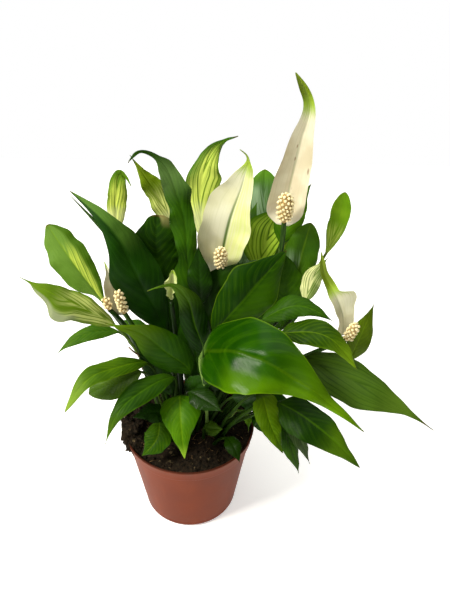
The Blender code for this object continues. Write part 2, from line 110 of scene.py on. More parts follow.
LOOKS = {
    "deep": Look((14, 38, 1), (26, 58, 1), MID, gloss=0.08),
    "dim": Look((36, 70, 3), (58, 94, 10), BRIGHT),
    "back": Look((30, 66, 2), (52, 92, 6), BRIGHT, rib=BRIGHT),
    "leaf_01": Look((52, 94, 10), (92, 130, 18), veins=4, slant=1.3, streaks=Streaks((212, 226, 96),
        along=(-0.2, 0.68)), patches=(((214, 220, 150), 0, (-1, 2), (-1, 0.28), 0.8),)),
    "leaf_02": Look((12, 44, 1), (24, 62, 2), MID, rib=MID, rib_share=0.1, gloss=0.1,
        patches=(((88, 126, 44), 1, (0.1, 2), (0.6, 2), 0.7),)),
    "leaf_03": Look((74, 108, 28), (94, 128, 46), veins=5, slant=1.1, rib=LIME,
        streaks=Streaks((184, 200, 78), along=(0.05, 0.7), across=(-0.2, 0.62), cover=0.95, count=3.4,
        side=1), patches=(((60, 94, 8), 1, (0.55, 2), (-1, 2), 0.9),)),
    "leaf_04": Look((72, 102, 10), (94, 124, 22), veins=6, slant=0.8, rib=LIME, stem=(84, 110, 40),
        streaks=Streaks((182, 194, 108), along=(-0.2, 0.62), across=(-0.2, 0.9), cover=0.62, count=4),
        patches=(((146, 154, 118), -1, (0.62, 2), (0.4, 0.85), 0.85),)),
    "leaf_05": Look((50, 88, 12), (84, 120, 34), LIME),
    "leaf_06": Look((42, 76, 3), (66, 100, 12), LIME, rib=LIME, margin=LIME, tip=(136, 166, 60),
        tip_from=0.72),
    "leaf_07": Look((66, 96, 24), (92, 120, 42), LIME, rough=0.28, gloss=0.2),
    "leaf_08": Look((24, 56, 2), (44, 78, 8), BRIGHT, rib=BRIGHT, margin=BRIGHT, margin_share=0.4,
        tip=(84, 116, 24), tip_from=0.7),
    "leaf_09": Look((20, 54, 1), (36, 74, 2), BRIGHT, rib=BRIGHT, tip=(104, 138, 12), tip_from=0.5),
    "leaf_10": Look((46, 88, 1), (72, 114, 5), LIME, slant=0.35, rib=LIME, tip=(134, 170, 44),
        tip_from=0.86, patches=(((42, 84, 1), -1, (0.2, 2), (-1, 0.6), 0.5),)),
    "leaf_11": Look((38, 74, 2), (62, 100, 8), LIME, rib=LIME),
    "leaf_12": Look((18, 42, 2), (30, 56, 6), MID, rough=0.3, gloss=0.1),
    "leaf_13": Look((38, 64, 4), (56, 84, 12)),
    "leaf_14": Look((12, 32, 0), (22, 46, 1), MID),
    "leaf_15": Look((15, 50, 0), (27, 67, 1), (58, 100, 4), veins=9, slant=0.24, vein_share=0.2, rib=LIME,
        rib_share=0.1, margin=(118, 156, 20), margin_width=0.03, tip=(96, 134, 10), tip_from=0.5,
        rough=0.24, gloss=0.06, stem=PETIOLE_PALE, patches=(((78, 118, 3), 1, (0.4, 2), (0.25, 2), 0.8),
        ((37, 78, 1), 1, (-1, 0.6), (0.3, 2), 0.5))),
    "leaf_16": Look((17, 48, 1), (27, 60, 1), BRIGHT, rib=BRIGHT, margin=LIME, margin_share=0.4,
        margin_width=0.03, patches=(((52, 90, 2), 1, (0.1, 2), (0.2, 2), 0.7),)),
    "leaf_17": Look((20, 48, 1), (34, 66, 2), MID, gloss=0.1),
    "leaf_18": Look((6, 27, 0), (14, 40, 1), MID, rib=BRIGHT, tip=(92, 132, 20), tip_from=0.55),
    # leaf_19's pale grey-green patch in its upper part is a painted sheen.
    "leaf_19": Look((28, 60, 3), (46, 84, 6), BRIGHT, patches=(((112, 136, 84), 0, (-1, 2), (0.6, 0.78),
        0.35),)),
    "leaf_20": Look((18, 46, 1), (30, 64, 2), BRIGHT, patches=(((196, 188, 118), 1, (0.3, 2), (0.93, 2),
        0.8),)),
    "leaf_21": Look((82, 108, 8), (112, 136, 20), veins=4, slant=1.3, streaks=Streaks((206, 214, 124),
        along=(-0.2, 0.5), cover=0.7), patches=(((216, 218, 168), 0, (-1, 2), (-1, 0.2), 0.8),)),
    "leaf_22": Look((56, 94, 6), (88, 128, 14), veins=4, slant=1.3, hair=0.96,
        streaks=Streaks((214, 230, 104), cover=0.85), patches=(((48, 90, 14), -1, (0.35, 2), (0.4, 2), 0.8),
        ((46, 88, 12), 0, (-1, 2), (0.78, 2), 0.7), ((222, 226, 170), 0, (-1, 2), (-1, 0.26), 0.75))),
    # leaf_23's pale grey-green streaks and its two pale patches are painted sheen.
    "leaf_23": Look((48, 84, 34), (80, 116, 58), veins=4, slant=1.8, tip=(96, 150, 24), tip_from=0.86,
        rough=0.35, gloss=0.12, streaks=Streaks((150, 178, 142), across=(-0.2, 0.9), cover=0.5, count=2.8,
        share=0.75), patches=(((152, 178, 142), -1, (0.3, 0.7), (0, 0.8), 0.7), ((140, 168, 128), 1,
        (0.3, 0.5), (0, 0.6), 0.4))),
    "leaf_24": Look((54, 98, 5), (88, 132, 12), veins=4, slant=1.8, streaks=Streaks((178, 212, 64),
        across=(-0.2, 0.9), cover=0.95, count=2.6)),
    # leaf_25's pale streaks and pale patch on the left half are painted sheen.
    "leaf_25": Look((44, 82, 3), (68, 106, 10), veins=5, slant=1.8, rib=LIME, gloss=0.1,
        streaks=Streaks((150, 178, 142), along=(-0.2, 0.6), across=(-0.2, 0.9), cover=0.6, count=3, side=-1,
        share=0.7), patches=(((160, 184, 150), -1, (0.35, 0.9), (-1, 0.6), 0.25),)),
    "leaf_26": Look((104, 150, 18), (146, 184, 40), veins=4, slant=1.3, streaks=Streaks((192, 212, 90),
        along=(-0.2, 0.5), cover=0.7)),
    "leaf_27": Look((64, 100, 14), (96, 130, 32), veins=4, slant=1.3, streaks=Streaks((228, 230, 164),
        along=(-0.2, 0.85), across=(-0.2, 1.2), cover=0.7, count=2.4), patches=(((74, 106, 22), 1,
        (0.15, 2), (-1, 2), 0.9),)),
    "leaf_28": Look((54, 76, 3), (72, 94, 8), LIME, rib=LIME),
    "leaf_29": Look((24, 54, 2), (40, 74, 5), BRIGHT, rib=BRIGHT),
    "leaf_30": Look((28, 56, 1), (46, 76, 4), LIME, rib=LIME, margin=LIME, margin_share=0.3,
        tip=(112, 144, 22), tip_from=0.6),
    "leaf_31": Look((27, 52, 5), (49, 76, 14), (84, 112, 34), veins=3, slant=1.2, vein_share=0.15, hair=0.9,
        streaks=Streaks((70, 98, 24), along=(-1, 1.2), across=(-1, 1.4), cover=1, count=3.2, share=0.5),
        patches=(((84, 112, 30), 0, (-1, 2), (0.6, 2), 0.5),)),
    "leaf_32": Look((52, 84, 2), (78, 106, 5), LIME, rib=LIME),
    "leaf_33": Look((17, 44, 1), (32, 62, 2), BRIGHT, vein_share=0.08, rib=BRIGHT, patches=(((76, 108, 12),
        0, (-1, 2), (0.55, 2), 0.7),)),
    "leaf_34": Look((28, 58, 3), (46, 80, 8), BRIGHT),
    "leaf_35": Look((42, 60, 26), (66, 84, 46), GREY_GREEN),
    "leaf_36": Look((62, 98, 10), (96, 132, 30), LIME, stem=PETIOLE_PALE),
    "leaf_41": Look((40, 80, 3), (70, 112, 8), LIME),
}

# ---------------------------------------------------------------- leaves and flowers


@dataclass
class Blade:
    """A leaf, or a flower's spathe. foot and path repeat the CAD's, moved a little in places."""

    name: str
    foot: tuple
    path: tuple
    faces: tuple
    width: float = None  # with widest and taper, the outline of a blade with no left and right
    style: str = "deep"  # the look, for a leaf without one of its own
    widest: float = 0.4
    taper: float = 1.1
    fold: float = 12  # degrees that each half rises from the midrib
    curl: float = -18  # degrees more at the margin
    ragged: float = 0.045  # how uneven the outline is, as a share of the width
    wave: float = 1.2  # how far the margins swing
    waves: float = 2.5  # how many swings
    bulge: float = 0.8  # height of the slow bulges
    relief: float = 0.16  # height of the quilting between the veins
    at: tuple = None  # the places of the half widths, where left and right share them
    left: tuple = None  # half widths, or (place, half width) pairs, seen with the tip up
    right: tuple = None


LEAVES = (
    # Left side, from the top down.
    Blade("leaf_01", (-13, 15), ((-61, 55, 266), (-61, 58, 290), (-54, 60, 314), (-47, 57, 304)),
        (0.2, -0.9, 0.3), 19, ragged=0.08, wave=1, left=((0, 2), (0.1, 6), (0.4, 8), (0.65, 6), (0.85, 3),
        (1, 0.3))),
    Blade("leaf_02", (-11, 7), ((-18, 5, 196), (-36, 3, 244), (-54, 5, 287), (-88, 22, 315)),
        (0.6, -0.8, 0.2), wave=1.6, waves=1.7, bulge=1.4, at=(0, 0.12, 0.3, 0.45, 0.6, 0.75, 0.88, 1),
        left=(1, 11, 19, 20, 13, 4.5, 1.5, 0.3), right=(1, 11, 19, 21, 17, 10, 4.5, 0.3)),
    Blade("leaf_03", (-18, 7), ((-69, 10, 221), (-91, 19, 251), (-114, 36, 279)), (0.5, -0.9, 0.2),
        ragged=0.07, wave=1, left=((0, 1), (0.12, 3), (0.25, 11), (0.4, 15), (0.6, 16), (0.8, 12),
        (0.94, 5), (1, 1.5)), right=((0, 1), (0.12, 6), (0.3, 12), (0.55, 15), (0.8, 13), (0.94, 7),
        (1, 1.5))),
    Blade("leaf_04", (-20, -3), ((-57, -12, 214), (-78, -20, 236), (-97, -24, 251), (-123, -19, 263)),
        (0.2, -0.7, 0.7), fold=8, curl=-20, ragged=0.07, waves=3, left=((0, 1), (0.12, 6), (0.28, 10),
        (0.42, 13), (0.52, 18), (0.59, 17), (0.7, 9), (0.82, 5), (0.9, 1), (1, 0.2)), right=((0, 1),
        (0.12, 6), (0.28, 10), (0.45, 11), (0.6, 9), (0.8, 4), (0.9, 1), (1, 0.2))),
    Blade("leaf_05", (-23, 3), ((-60, 15, 187), (-84, 8, 191), (-112, -5, 177)), (0.1, -0.5, 0.9), 14,
        taper=1.3, wave=0.6),
    Blade("leaf_06", (-17, -6), ((-32, -18, 180), (-54, -40, 194), (-71, -57, 197), (-89, -71, 175)),
        (-0.2, -0.6, 0.8), wave=0.8, left=((0, 1), (0.15, 6), (0.35, 8), (0.5, 8), (0.7, 5.5), (0.88, 3),
        (1, 0.3)), right=((0, 1), (0.15, 6), (0.35, 10), (0.5, 9.5), (0.66, 8), (0.8, 5), (0.92, 2.2),
        (1, 0.3))),
    Blade("leaf_07", (-21, -11), ((-36, -25, 177), (-57, -40, 178), (-75, -50, 175)), (0, -0.6, 0.8), 25,
        widest=0.55, taper=0.7, wave=0.8),
    Blade("leaf_08", (-13, -13), ((-10, -17, 164), (-31, -40, 173), (-50, -60, 167), (-61, -73, 143)),
        (-0.2, -0.7, 0.7), 20, taper=1.4, wave=1),
    Blade("leaf_09", (-8, -9), ((3, -10, 163), (-18, -19, 196), (-34, -29, 220), (-58, -40, 237)),
        (0.2, -0.9, 0.4), 31, widest=0.35, taper=1.5, bulge=1.2),
    # Front, low over the lip.
    Blade("leaf_10", (-3, -17), ((-6, -22, 148), (-4, -41, 142), (0, -62, 116)), (0, -0.8, 0.6), wave=0.9,
        at=(0, 0.06, 0.2, 0.42, 0.6, 0.8, 1), left=(4, 14, 18, 14.5, 9, 4, 0.4),
        right=(4, 13, 17, 14.5, 10, 5, 0.4)),
    Blade("leaf_11", (-15, -22), ((-23, -30, 126), (-24, -42, 120), (-37, -52, 107)), (0, -0.8, 0.6), 23,
        taper=1, wave=0.7),
    Blade("leaf_12", (4, -14), ((2, -22, 153), (14, -31, 154), (31, -42, 150)), (0.2, -0.6, 0.8), 20,
        taper=1.3, wave=0.7),
    Blade("leaf_13", (14, -18), ((15, -22, 112), (22, -27, 115), (31, -31, 119)), (0, -0.8, 0.6), 13,
        wave=0.5),
    Blade("leaf_14", (24, -25), ((34, -31, 108), (40, -42, 111), (46, -52, 101)), (0.2, -0.8, 0.6), 14,
        wave=0.5),
    Blade("leaf_15", (17, -13), ((14, -33, 204), (57, -65, 225), (94, -80, 211), (134, -90, 180)),
        (0.1, -0.7, 0.7), wave=1.6, waves=1.8, bulge=2.2, relief=0.3, left=((0, 4), (0.03, 16), (0.1, 24),
        (0.25, 30), (0.4, 27), (0.55, 18), (0.68, 9), (0.8, 4.5), (0.9, 2), (1, 0.3)), right=((0, 4),
        (0.03, 16), (0.1, 25), (0.25, 29), (0.38, 26), (0.5, 18), (0.62, 10), (0.75, 5.5), (0.88, 2.5),
        (1, 0.3))),
    # Middle.
    Blade("leaf_16", (7, -6), ((22, -10, 205), (47, 0, 235), (79, 15, 271)), (0.2, -0.9, 0.3), 46,
        widest=0.5, taper=1, bulge=1.4, relief=0.1),
    Blade("leaf_17", (3, 2), ((12, 8, 179), (24, 13, 222), (72, 16, 264)), (0, -0.9, 0.3), left=((0, 2),
        (0.12, 12), (0.3, 20), (0.5, 20), (0.7, 13), (0.88, 5), (1, 0.3)), right=((0, 2), (0.15, 12),
        (0.35, 18), (0.6, 12), (0.85, 4), (1, 0.3))),
    Blade("leaf_18", (-2, -8), ((16, -20, 189), (8, -24, 225), (2, -28, 253), (-8, -33, 267),
        (-25, -40, 266)), (0, -0.9, 0.3), 22, widest=0.35, taper=1.5),
    Blade("leaf_19", (-3, 5), ((3, 12, 232), (0, 16, 269), (-1, 20, 289), (-8, 26, 314), (-18, 30, 336),
        (-33, 27, 345), (-41, 15, 340)), (0.2, -0.9, 0.2), ragged=0.12, wave=2.6, waves=4.5, bulge=1.4,
        left=((0, 3), (0.06, 13), (0.12, 12.5), (0.2, 8), (0.3, 9), (0.42, 12), (0.52, 8.5), (0.6, 9.5),
        (0.66, 8.5), (0.73, 6.5), (0.8, 2.2), (0.88, 1.1), (1, 0.3)), right=((0, 3), (0.06, 12), (0.14, 12),
        (0.22, 8.5), (0.3, 10), (0.42, 8), (0.5, 11), (0.57, 13), (0.64, 9), (0.73, 6.5), (0.8, 2.2),
        (0.88, 1.1), (1, 0.3))),
    Blade("leaf_20", (-8, 12), ((-14, 21, 217), (-25, 27, 253), (-24, 31, 292)), (0.1, -0.9, 0.2),
        ragged=0.1, wave=2, waves=3.5, left=((0, 1), (0.2, 12), (0.5, 19), (0.75, 16), (0.9, 10), (0.97, 6),
        (1, 2)), right=((0, 1), (0.2, 15), (0.5, 22), (0.75, 19), (0.9, 13), (0.96, 10), (1, 5))),
    Blade("leaf_21", (-7, 19), ((-12, 41, 274), (-24, 44, 303), (-34, 43, 320), (-43, 38, 338)),
        (0.1, -0.9, 0.3), 19, widest=0.35, taper=1.5, ragged=0.09, wave=1.6, waves=3),
    # Back, upright.
    Blade("leaf_22", (1, 14), ((12, 45, 263), (9, 55, 299), (13, 60, 321), (22, 60, 338), (39, 50, 350)),
        (0, -0.9, 0.2), ragged=0.08, wave=1.8, waves=3.5, left=((0, 2), (0.15, 8), (0.35, 12), (0.5, 11.5),
        (0.65, 8), (0.8, 3.2), (0.88, 1), (1, 0.3)), right=((0, 2), (0.15, 9), (0.35, 15), (0.5, 15),
        (0.65, 9), (0.75, 6), (0.83, 3), (0.88, 1), (1, 0.3))),
    Blade("leaf_23", (12, 22), ((64, 60, 246), (63, 68, 285), (62, 75, 314)), (0, -0.9, 0.2), 30,
        widest=0.6, taper=0.7, wave=1),
    Blade("leaf_24", (14, 17), ((59, 38, 240), (65, 43, 266), (80, 48, 292)), (0, -0.9, 0.3), wave=1,
        at=(0, 0.12, 0.3, 0.5, 0.7, 0.88, 1), left=(2, 12, 20, 21, 16, 7, 0.3),
        right=(2, 12, 19, 21, 17, 8, 0.3)),
    Blade("leaf_25", (16, 6), ((86, 18, 219), (91, 24, 254), (98, 30, 288)), (-0.2, -0.9, 0.2), 28,
        widest=0.6, taper=0.7, wave=0.9),
    Blade("leaf_26", (22, 14), ((115, 40, 255), (121, 42, 280), (125, 45, 308)), (-0.3, -0.9, 0.2),
        wave=0.9, at=(0, 0.2, 0.5, 0.75, 0.9, 0.97, 1), left=(1, 4.5, 8, 8, 5, 2.5, 0.5),
        right=(1, 4.5, 8, 8, 5, 2.5, 0.5)),
    Blade("leaf_27", (20, 4), ((96, 9, 226), (101, 12, 246), (111, 10, 268)), (-0.3, -0.9, 0.2), 16,
        taper=1.4, wave=0.9),
    # Right side, from the top down.
    Blade("leaf_28", (25, 7), ((141, 15, 160), (149, 15, 189), (157, 20, 219)), (-0.4, -0.9, 0.2), 20,
        taper=1.4, wave=0.8),
    Blade("leaf_29", (13, -2), ((61, -5, 217), (90, -8, 234), (117, -16, 225)), (0.2, -0.6, 0.8), 20,
        taper=1.3, wave=1, relief=0.08),
    Blade("leaf_30", (14, -9), ((76, -20, 215), (109, -30, 221), (134, -42, 199)), (0.2, -0.6, 0.8), wave=1,
        relief=0.08, at=(0, 0.1, 0.3, 0.5, 0.7, 0.88, 1), left=(2, 9, 13, 12, 8, 3, 0.3),
        right=(2, 7, 11, 10.5, 6, 2.5, 0.3)),
    Blade("leaf_31", (22, -5), ((92, -26, 194), (126, -45, 193), (164, -58, 178), (196, -66, 158)),
        (0.1, -0.6, 0.8), bulge=1.2, relief=0.35, left=((0, 1), (0.1, 11), (0.25, 17), (0.4, 16),
        (0.55, 11), (0.7, 6), (0.8, 2.8), (0.9, 1), (1, 0.2)), right=((0, 1), (0.1, 11), (0.25, 18),
        (0.4, 19), (0.55, 15), (0.68, 8), (0.78, 3), (0.9, 1), (1, 0.2))),
    Blade("leaf_32", (25, -17), ((62, -46, 172), (68, -60, 158), (79, -72, 136)), (0.3, -0.8, 0.5), fold=18,
        at=(0, 0.06, 0.2, 0.45, 0.7, 0.88, 1), left=(6, 10, 11, 9, 5, 2, 0.3),
        right=(6, 9.5, 11, 9.5, 6, 2.5, 0.3)),
    Blade("leaf_33", (29, -19), ((76, -50, 168), (104, -72, 166), (137, -88, 139)), (0.2, -0.7, 0.7),
        wave=1, left=((0, 3), (0.1, 11), (0.28, 13), (0.45, 12), (0.65, 7.5), (0.85, 3), (1, 0.3)),
        right=((0, 3), (0.1, 14), (0.28, 17), (0.45, 15), (0.6, 12), (0.8, 5.5), (1, 0.3))),
    Blade("leaf_34", (30, -12), ((76, -46, 150), (86, -55, 130), (96, -60, 98)), (0.5, -0.8, 0.3), 16,
        taper=1.3, wave=0.7),
    Blade("leaf_35", (31, -6), ((78, -43, 158), (92, -56, 140), (104, -62, 112)), (0.5, -0.7, 0.5), 14,
        taper=1.4, wave=0.7),
    Blade("leaf_36", (34, -2), ((44, -5, 116), (52, -12, 118), (54, -22, 108)), (0.5, -0.5, 0.8), 9),
    # Back, where the foliage arches away from the front.
    Blade("leaf_37", (-14, 22), ((-25, 50, 175), (-38, 80, 180), (-50, 115, 140)), (-0.3, 0.6, 0.8), 36,
        style="back", widest=0.35, taper=1.7),
    Blade("leaf_38", (2, 27), ((5, 52, 185), (8, 85, 190), (5, 125, 150)), (0, 0.6, 0.8), 40, style="back",
        widest=0.35, taper=1.7),
    Blade("leaf_39", (12, 28), ((35, 50, 170), (52, 75, 175), (70, 105, 140)), (0.3, 0.6, 0.8), 34,
        style="back", widest=0.35, taper=1.7),
    Blade("leaf_40", (-4, 29), ((0, 48, 205), (2, 74, 222), (6, 104, 222)), (0, 0.3, 0.9), 32, style="back",
        taper=1.5),
    Blade("leaf_41", (18, 11), ((76, 37, 265), (84, 44, 290), (98, 47, 314)), (-0.1, -0.9, 0.2), 24,
        taper=1.2),
    Blade("leaf_42", (21, 20), ((58, 28, 178), (78, 48, 185), (100, 75, 165)), (0.3, 0.2, 0.9), 28,
        style="back", taper=1.5),
)

# Inner leaves, in the shade between the named ones. They stand for no CAD node.
INNER_LEAVES = (
    Blade("inner_01", (-1, -4), ((10, -6, 146), (6, -3, 190), (-2, 2, 232)), (0, -0.9, 0.3), 34),
    Blade("inner_02", (-12, -3), ((-14, -11, 140), (-27, -14, 168), (-40, -18, 192)), (0.1, -0.8, 0.5), 20),
    Blade("inner_03", (16, -12), ((39, -20, 146), (62, -28, 154), (92, -38, 152)), (0.1, -0.8, 0.6), 26),
    Blade("inner_04", (-9, 3), ((-14, 9, 186), (-22, 14, 222), (-30, 22, 256)), (0.1, -0.9, 0.2), 32),
    Blade("inner_05", (2, 5), ((11, 9, 222), (10, 11, 250), (9, 15, 274)), (0, -0.9, 0.2), 20),
    Blade("inner_06", (8, -9), ((24, -12, 146), (22, -12, 176), (14, -13, 208)), (0, -0.9, 0.3), 30),
    Blade("inner_07", (1, -11), ((2, -14, 140), (10, -20, 160), (26, -27, 172)), (0.1, -0.8, 0.5), 20),
    Blade("inner_08", (24, -12), ((56, -20, 128), (66, -31, 131), (78, -44, 120)), (0.2, -0.8, 0.5), 20),
    Blade("inner_09", (9, 7), ((82, 10, 197), (80, 15, 230), (78, 21, 264)), (0, -0.9, 0.3), 34,
        style="dim", widest=0.5, taper=0.9),
    Blade("inner_10", (-6, -14), ((-18, -24, 128), (-30, -34, 140), (-44, -42, 142)), (-0.1, -0.6, 0.8),
        18),
    # inner_19 takes leaf_23's look, painted sheen included.
    Blade("inner_19", (6, 12), ((40, 44, 225), (46, 49, 259), (56, 56, 293)), (0, -0.9, 0.2), 26,
        style="leaf_23"),
    Blade("inner_11", (-5, 8), ((-2, 16, 150), (-8, 26, 180), (-16, 34, 205)), (0, -0.6, 0.8), 30,
        style="back"),
    Blade("inner_12", (10, 14), ((20, 26, 150), (32, 38, 176), (46, 48, 196)), (0.3, -0.2, 0.9), 30,
        style="back"),
    Blade("inner_13", (-2, 22), ((-8, 38, 140), (-14, 58, 160), (-24, 84, 168)), (0, 0.4, 0.9), 30,
        style="back"),
    Blade("inner_14", (8, 20), ((16, 44, 150), (24, 64, 172), (34, 92, 178)), (0.1, 0.4, 0.9), 30,
        style="back"),
    Blade("inner_15", (-20, 12), ((-36, 30, 150), (-50, 44, 168), (-72, 60, 168)), (-0.3, 0.1, 0.9), 26,
        style="back"),
    Blade("inner_16", (24, 12), ((46, 22, 128), (62, 32, 142), (84, 46, 140)), (0.3, 0.1, 0.9), 26,
        style="back"),
    Blade("inner_17", (-10, 25), ((-18, 42, 118), (-26, 56, 128), (-38, 74, 124)), (-0.2, 0.3, 0.9), 24,
        style="back"),
    Blade("inner_18", (14, 24), ((26, 42, 118), (36, 54, 126), (50, 68, 122)), (0.2, 0.3, 0.9), 24,
        style="back"),
)

# What a spathe has where its flower does not say otherwise.
HOOD = dict(widest=0.35, fold=15, curl=20, ragged=0.03, wave=0.8, waves=2.0, bulge=0.9, relief=0.12)


@dataclass
class Flower:
    """foot and top: the stalk's ends, bend: a place that it passes. tip and radius: the
    spadix's. hood: the spathe's values as a Blade's, finish: its material's."""

    name: str
    foot: tuple
    top: tuple
    bend: tuple = None
    tip: tuple = None
    radius: float = None
    hood: dict = None
    finish: dict = None
    stalk: str = "stalk_green"


FLOWERS = (
    Flower("flower_a", (4, 11), (27, 25, 249), tip=(27, 8, 274), radius=5.3, hood=dict(path=((26, 28, 241),
        (33, 34, 285), (44, 45, 318), (46, 46, 336), (40, 46, 341)), faces=(0, -0.9, 0.3), fold=5, curl=7,
        ragged=0.05, wave=1.4, waves=3, left=((0, 10), (0.04, 17), (0.15, 20), (0.35, 22.5), (0.55, 22),
        (0.72, 14), (0.83, 5), (0.9, 1.2), (1, 0.2)), right=((0, 3), (0.05, 8), (0.12, 13.5), (0.22, 17.5),
        (0.35, 18), (0.55, 13), (0.72, 9), (0.83, 5), (0.9, 1.2), (1, 0.2))), finish=dict(green=0.6,
        green_side=1, tip_from=0.86, rib_share=0.95)),
    Flower("flower_b", (9, 17), (75, 16, 296), bend=(74, 17, 266), tip=(74, 4, 322), radius=6.2,
        hood=dict(path=((75, 23, 289), (80, 34, 322), (85, 36, 353), (89, 34, 379), (76, 26, 403)),
        faces=(-0.1, -0.9, 0.2), fold=14, curl=24, wave=0.7,
        at=(0, 0.05, 0.13, 0.25, 0.4, 0.55, 0.68, 0.78, 0.88, 0.95, 1),
        left=(5, 13, 18, 17, 13.5, 9.5, 6.5, 5.4, 4.6, 2.6, 0.3),
        right=(5, 12, 17, 18, 16.5, 12.5, 8, 5.5, 4.6, 2.6, 0.3)), finish=dict(tint=(198, 188, 158),
        tip_from=0.78, spots=((-0.05, 0.42, 0.05), (-0.1, 0.5, 0.05), (0.8, 0.38, 0.09),
        (0.1, 0.24, 0.06)))),
    Flower("flower_c", (24, 1), (132, -5, 199), tip=(135, -16, 222), radius=4.4,
        hood=dict(path=((129, -1, 201), (126, -2, 222), (117, 0, 243), (108, 4, 258), (105, 8, 274)),
        faces=(0.4, -0.9, 0.2), fold=12, curl=12, ragged=0.09, bulge=2, left=((0, 3), (0.08, 7), (0.3, 8),
        (0.5, 6.5), (0.65, 5), (0.85, 3.5), (1, 0.3)), right=((0, 3), (0.08, 7), (0.3, 11), (0.42, 15),
        (0.49, 15), (0.55, 5), (0.68, 3.5), (0.85, 3), (1, 0.3))), finish=dict(tint=(186, 180, 146),
        green=0.1, tip_from=0.58)),
    # flower_d's stalk gets the stalk colours painted darker, as painted shade.
    Flower("flower_d", (-5, 0), (-12, -2, 232), hood=dict(path=((-12, 1, 232), (-12, 2, 246),
        (-10, 2, 259)), faces=(0, -0.9, 0.3), fold=38, curl=24, ragged=0.12, wave=1.4, waves=2.5,
        at=(0, 0.15, 0.35, 0.6, 0.8, 0.93, 1), left=(1, 4, 7, 9, 7, 4, 2), right=(1, 4, 7, 9.5, 9.5, 7, 3)),
        finish=dict(tint=(150, 160, 98), green=0.35, tip_from=0.95), stalk="stalk_shaded"),
    Flower("flower_e", (-14, 0), (-49, -8, 224), tip=(-51, -17, 250), radius=3.9,
        hood=dict(path=((-51, -2, 218), (-58, 2, 241), (-64, 6, 263)), faces=(0.2, -0.9, 0.2), width=22,
        fold=20), finish=dict(tint=(190, 182, 148), tip_from=0.95)),
    Flower("flower_f", (-25, -1), (-60, -12, 230), bend=(-51, -1, 206), tip=(-62, -14.5, 241.5),
        radius=3.4),
)

# ---------------------------------------------------------------- curves

SPAN_SAMPLES = 12
KNEE = (0.35, 0.35, 0.52)


def hermite(u, gap, start, start_slope, end, end_slope):
    """The value at share u of a cubic span."""
    return (
        start * (2 * u**3 - 3 * u**2 + 1)
        + start_slope * gap * (u**3 - 2 * u**2 + u)
        + end * (3 * u**2 - 2 * u**3)
        + end_slope * gap * (u**3 - u**2)
    )


def smooth_path(points):
    """A smooth curve through the points, as a list of close points."""
    points = [Vector(point) for point in points]
    gaps = [(b - a).length for a, b in zip(points, points[1:])]
    slopes = [(b - a) / gap for a, b, gap in zip(points, points[1:], gaps)]
    tangents = [slopes[0]]
    for i in range(1, len(slopes)):
        tangents.append(slopes[i - 1].lerp(slopes[i], gaps[i - 1] / (gaps[i - 1] + gaps[i])))
    tangents.append(slopes[-1])
    if len(slopes) > 1:
        tangents[0] = slopes[0] * 1.5 - tangents[1] * 0.5
        tangents[-1] = slopes[-1] * 1.5 - tangents[-2] * 0.5
    curve = [points[0]]
    for i, gap in enumerate(gaps):
        for step in range(1, SPAN_SAMPLES + 1):
            u = step / SPAN_SAMPLES
            curve.append(hermite(u, gap, points[i], tangents[i], points[i + 1], tangents[i + 1]))
    return curve


class Course:
    """A curve with a side direction that turns no more than the curve itself does."""

    def __init__(self, curve, middle, faces):
        self.curve = curve
        self.lengths = [0.0]
        for a, b in zip(curve, curve[1:]):
            self.lengths.append(self.lengths[-1] + (b - a).length)
        ahead, behind = [*curve[1:], curve[-1]], [curve[0], *curve[:-1]]
        self.tangents = [(b - a).normalized() for a, b in zip(behind, ahead)]
        self.sides = [self.tangents[middle].cross(faces).normalized()] * len(curve)
        for order in (range(middle + 1, len(curve)), range(middle - 1, -1, -1)):
            side = self.sides[middle]
            for i in order:
                side = (side - self.tangents[i] * side.dot(self.tangents[i])).normalized()
                self.sides[i] = side

    def station(self, distance):
        """(point, side, normal) at a distance along the curve."""
        i = 0
        while i < len(self.lengths) - 2 and self.lengths[i + 1] < distance:
            i += 1
        share = (distance - self.lengths[i]) / (self.lengths[i + 1] - self.lengths[i])
        tangent = self.tangents[i].lerp(self.tangents[i + 1], share).normalized()
        side = self.sides[i].lerp(self.sides[i + 1], share)
        side = (side - tangent * side.dot(tangent)).normalized()
        return self.curve[i].lerp(self.curve[i + 1], share), side, side.cross(tangent)


def knee_between(foot, top):
    """Where a stalk that rises steeply from its foot bends outwards."""
    return Vector([low + (high - low) * share for low, high, share in zip(foot, top, KNEE)])


def keyed(keys, t):
    """A smooth value at t from (place, value) pairs."""
    if t <= keys[0][0]:
        return keys[0][1]
    if t >= keys[-1][0]:
        return keys[-1][1]
    i = 0
    while keys[i + 1][0] < t:
        i += 1
    slopes = [(b[1] - a[1]) / (b[0] - a[0]) for a, b in zip(keys, keys[1:])]

    def slope_at(k):
        if k == 0 or k == len(slopes):
            return slopes[min(k, len(slopes) - 1)]
        before, after = slopes[k - 1], slopes[k]
        return 0.0 if before * after <= 0 else 2 * before * after / (before + after)

    (t0, v0), (t1, v1) = keys[i], keys[i + 1]
    return hermite((t - t0) / (t1 - t0), t1 - t0, v0, slope_at(i), v1, slope_at(i + 1))


# ---------------------------------------------------------------- meshes


def ring(centre, across, other, radius, sides, ridge=0.0):
    """Points round a centre. ridge makes five low ribs."""
    made = []
    for k in range(sides):
        angle = 2 * math.pi * k / sides
        reach = radius * (1 + ridge * math.cos(angle * 5))
        made.append(centre + across * (reach * math.cos(angle)) + other * (reach * math.sin(angle)))
    return made


def level_ring(radius, height, sides):
    """A ring about the pot's axis."""
    return ring(Vector((0, 0, height)), Vector((1, 0, 0)), Vector((0, 1, 0)), radius, sides)


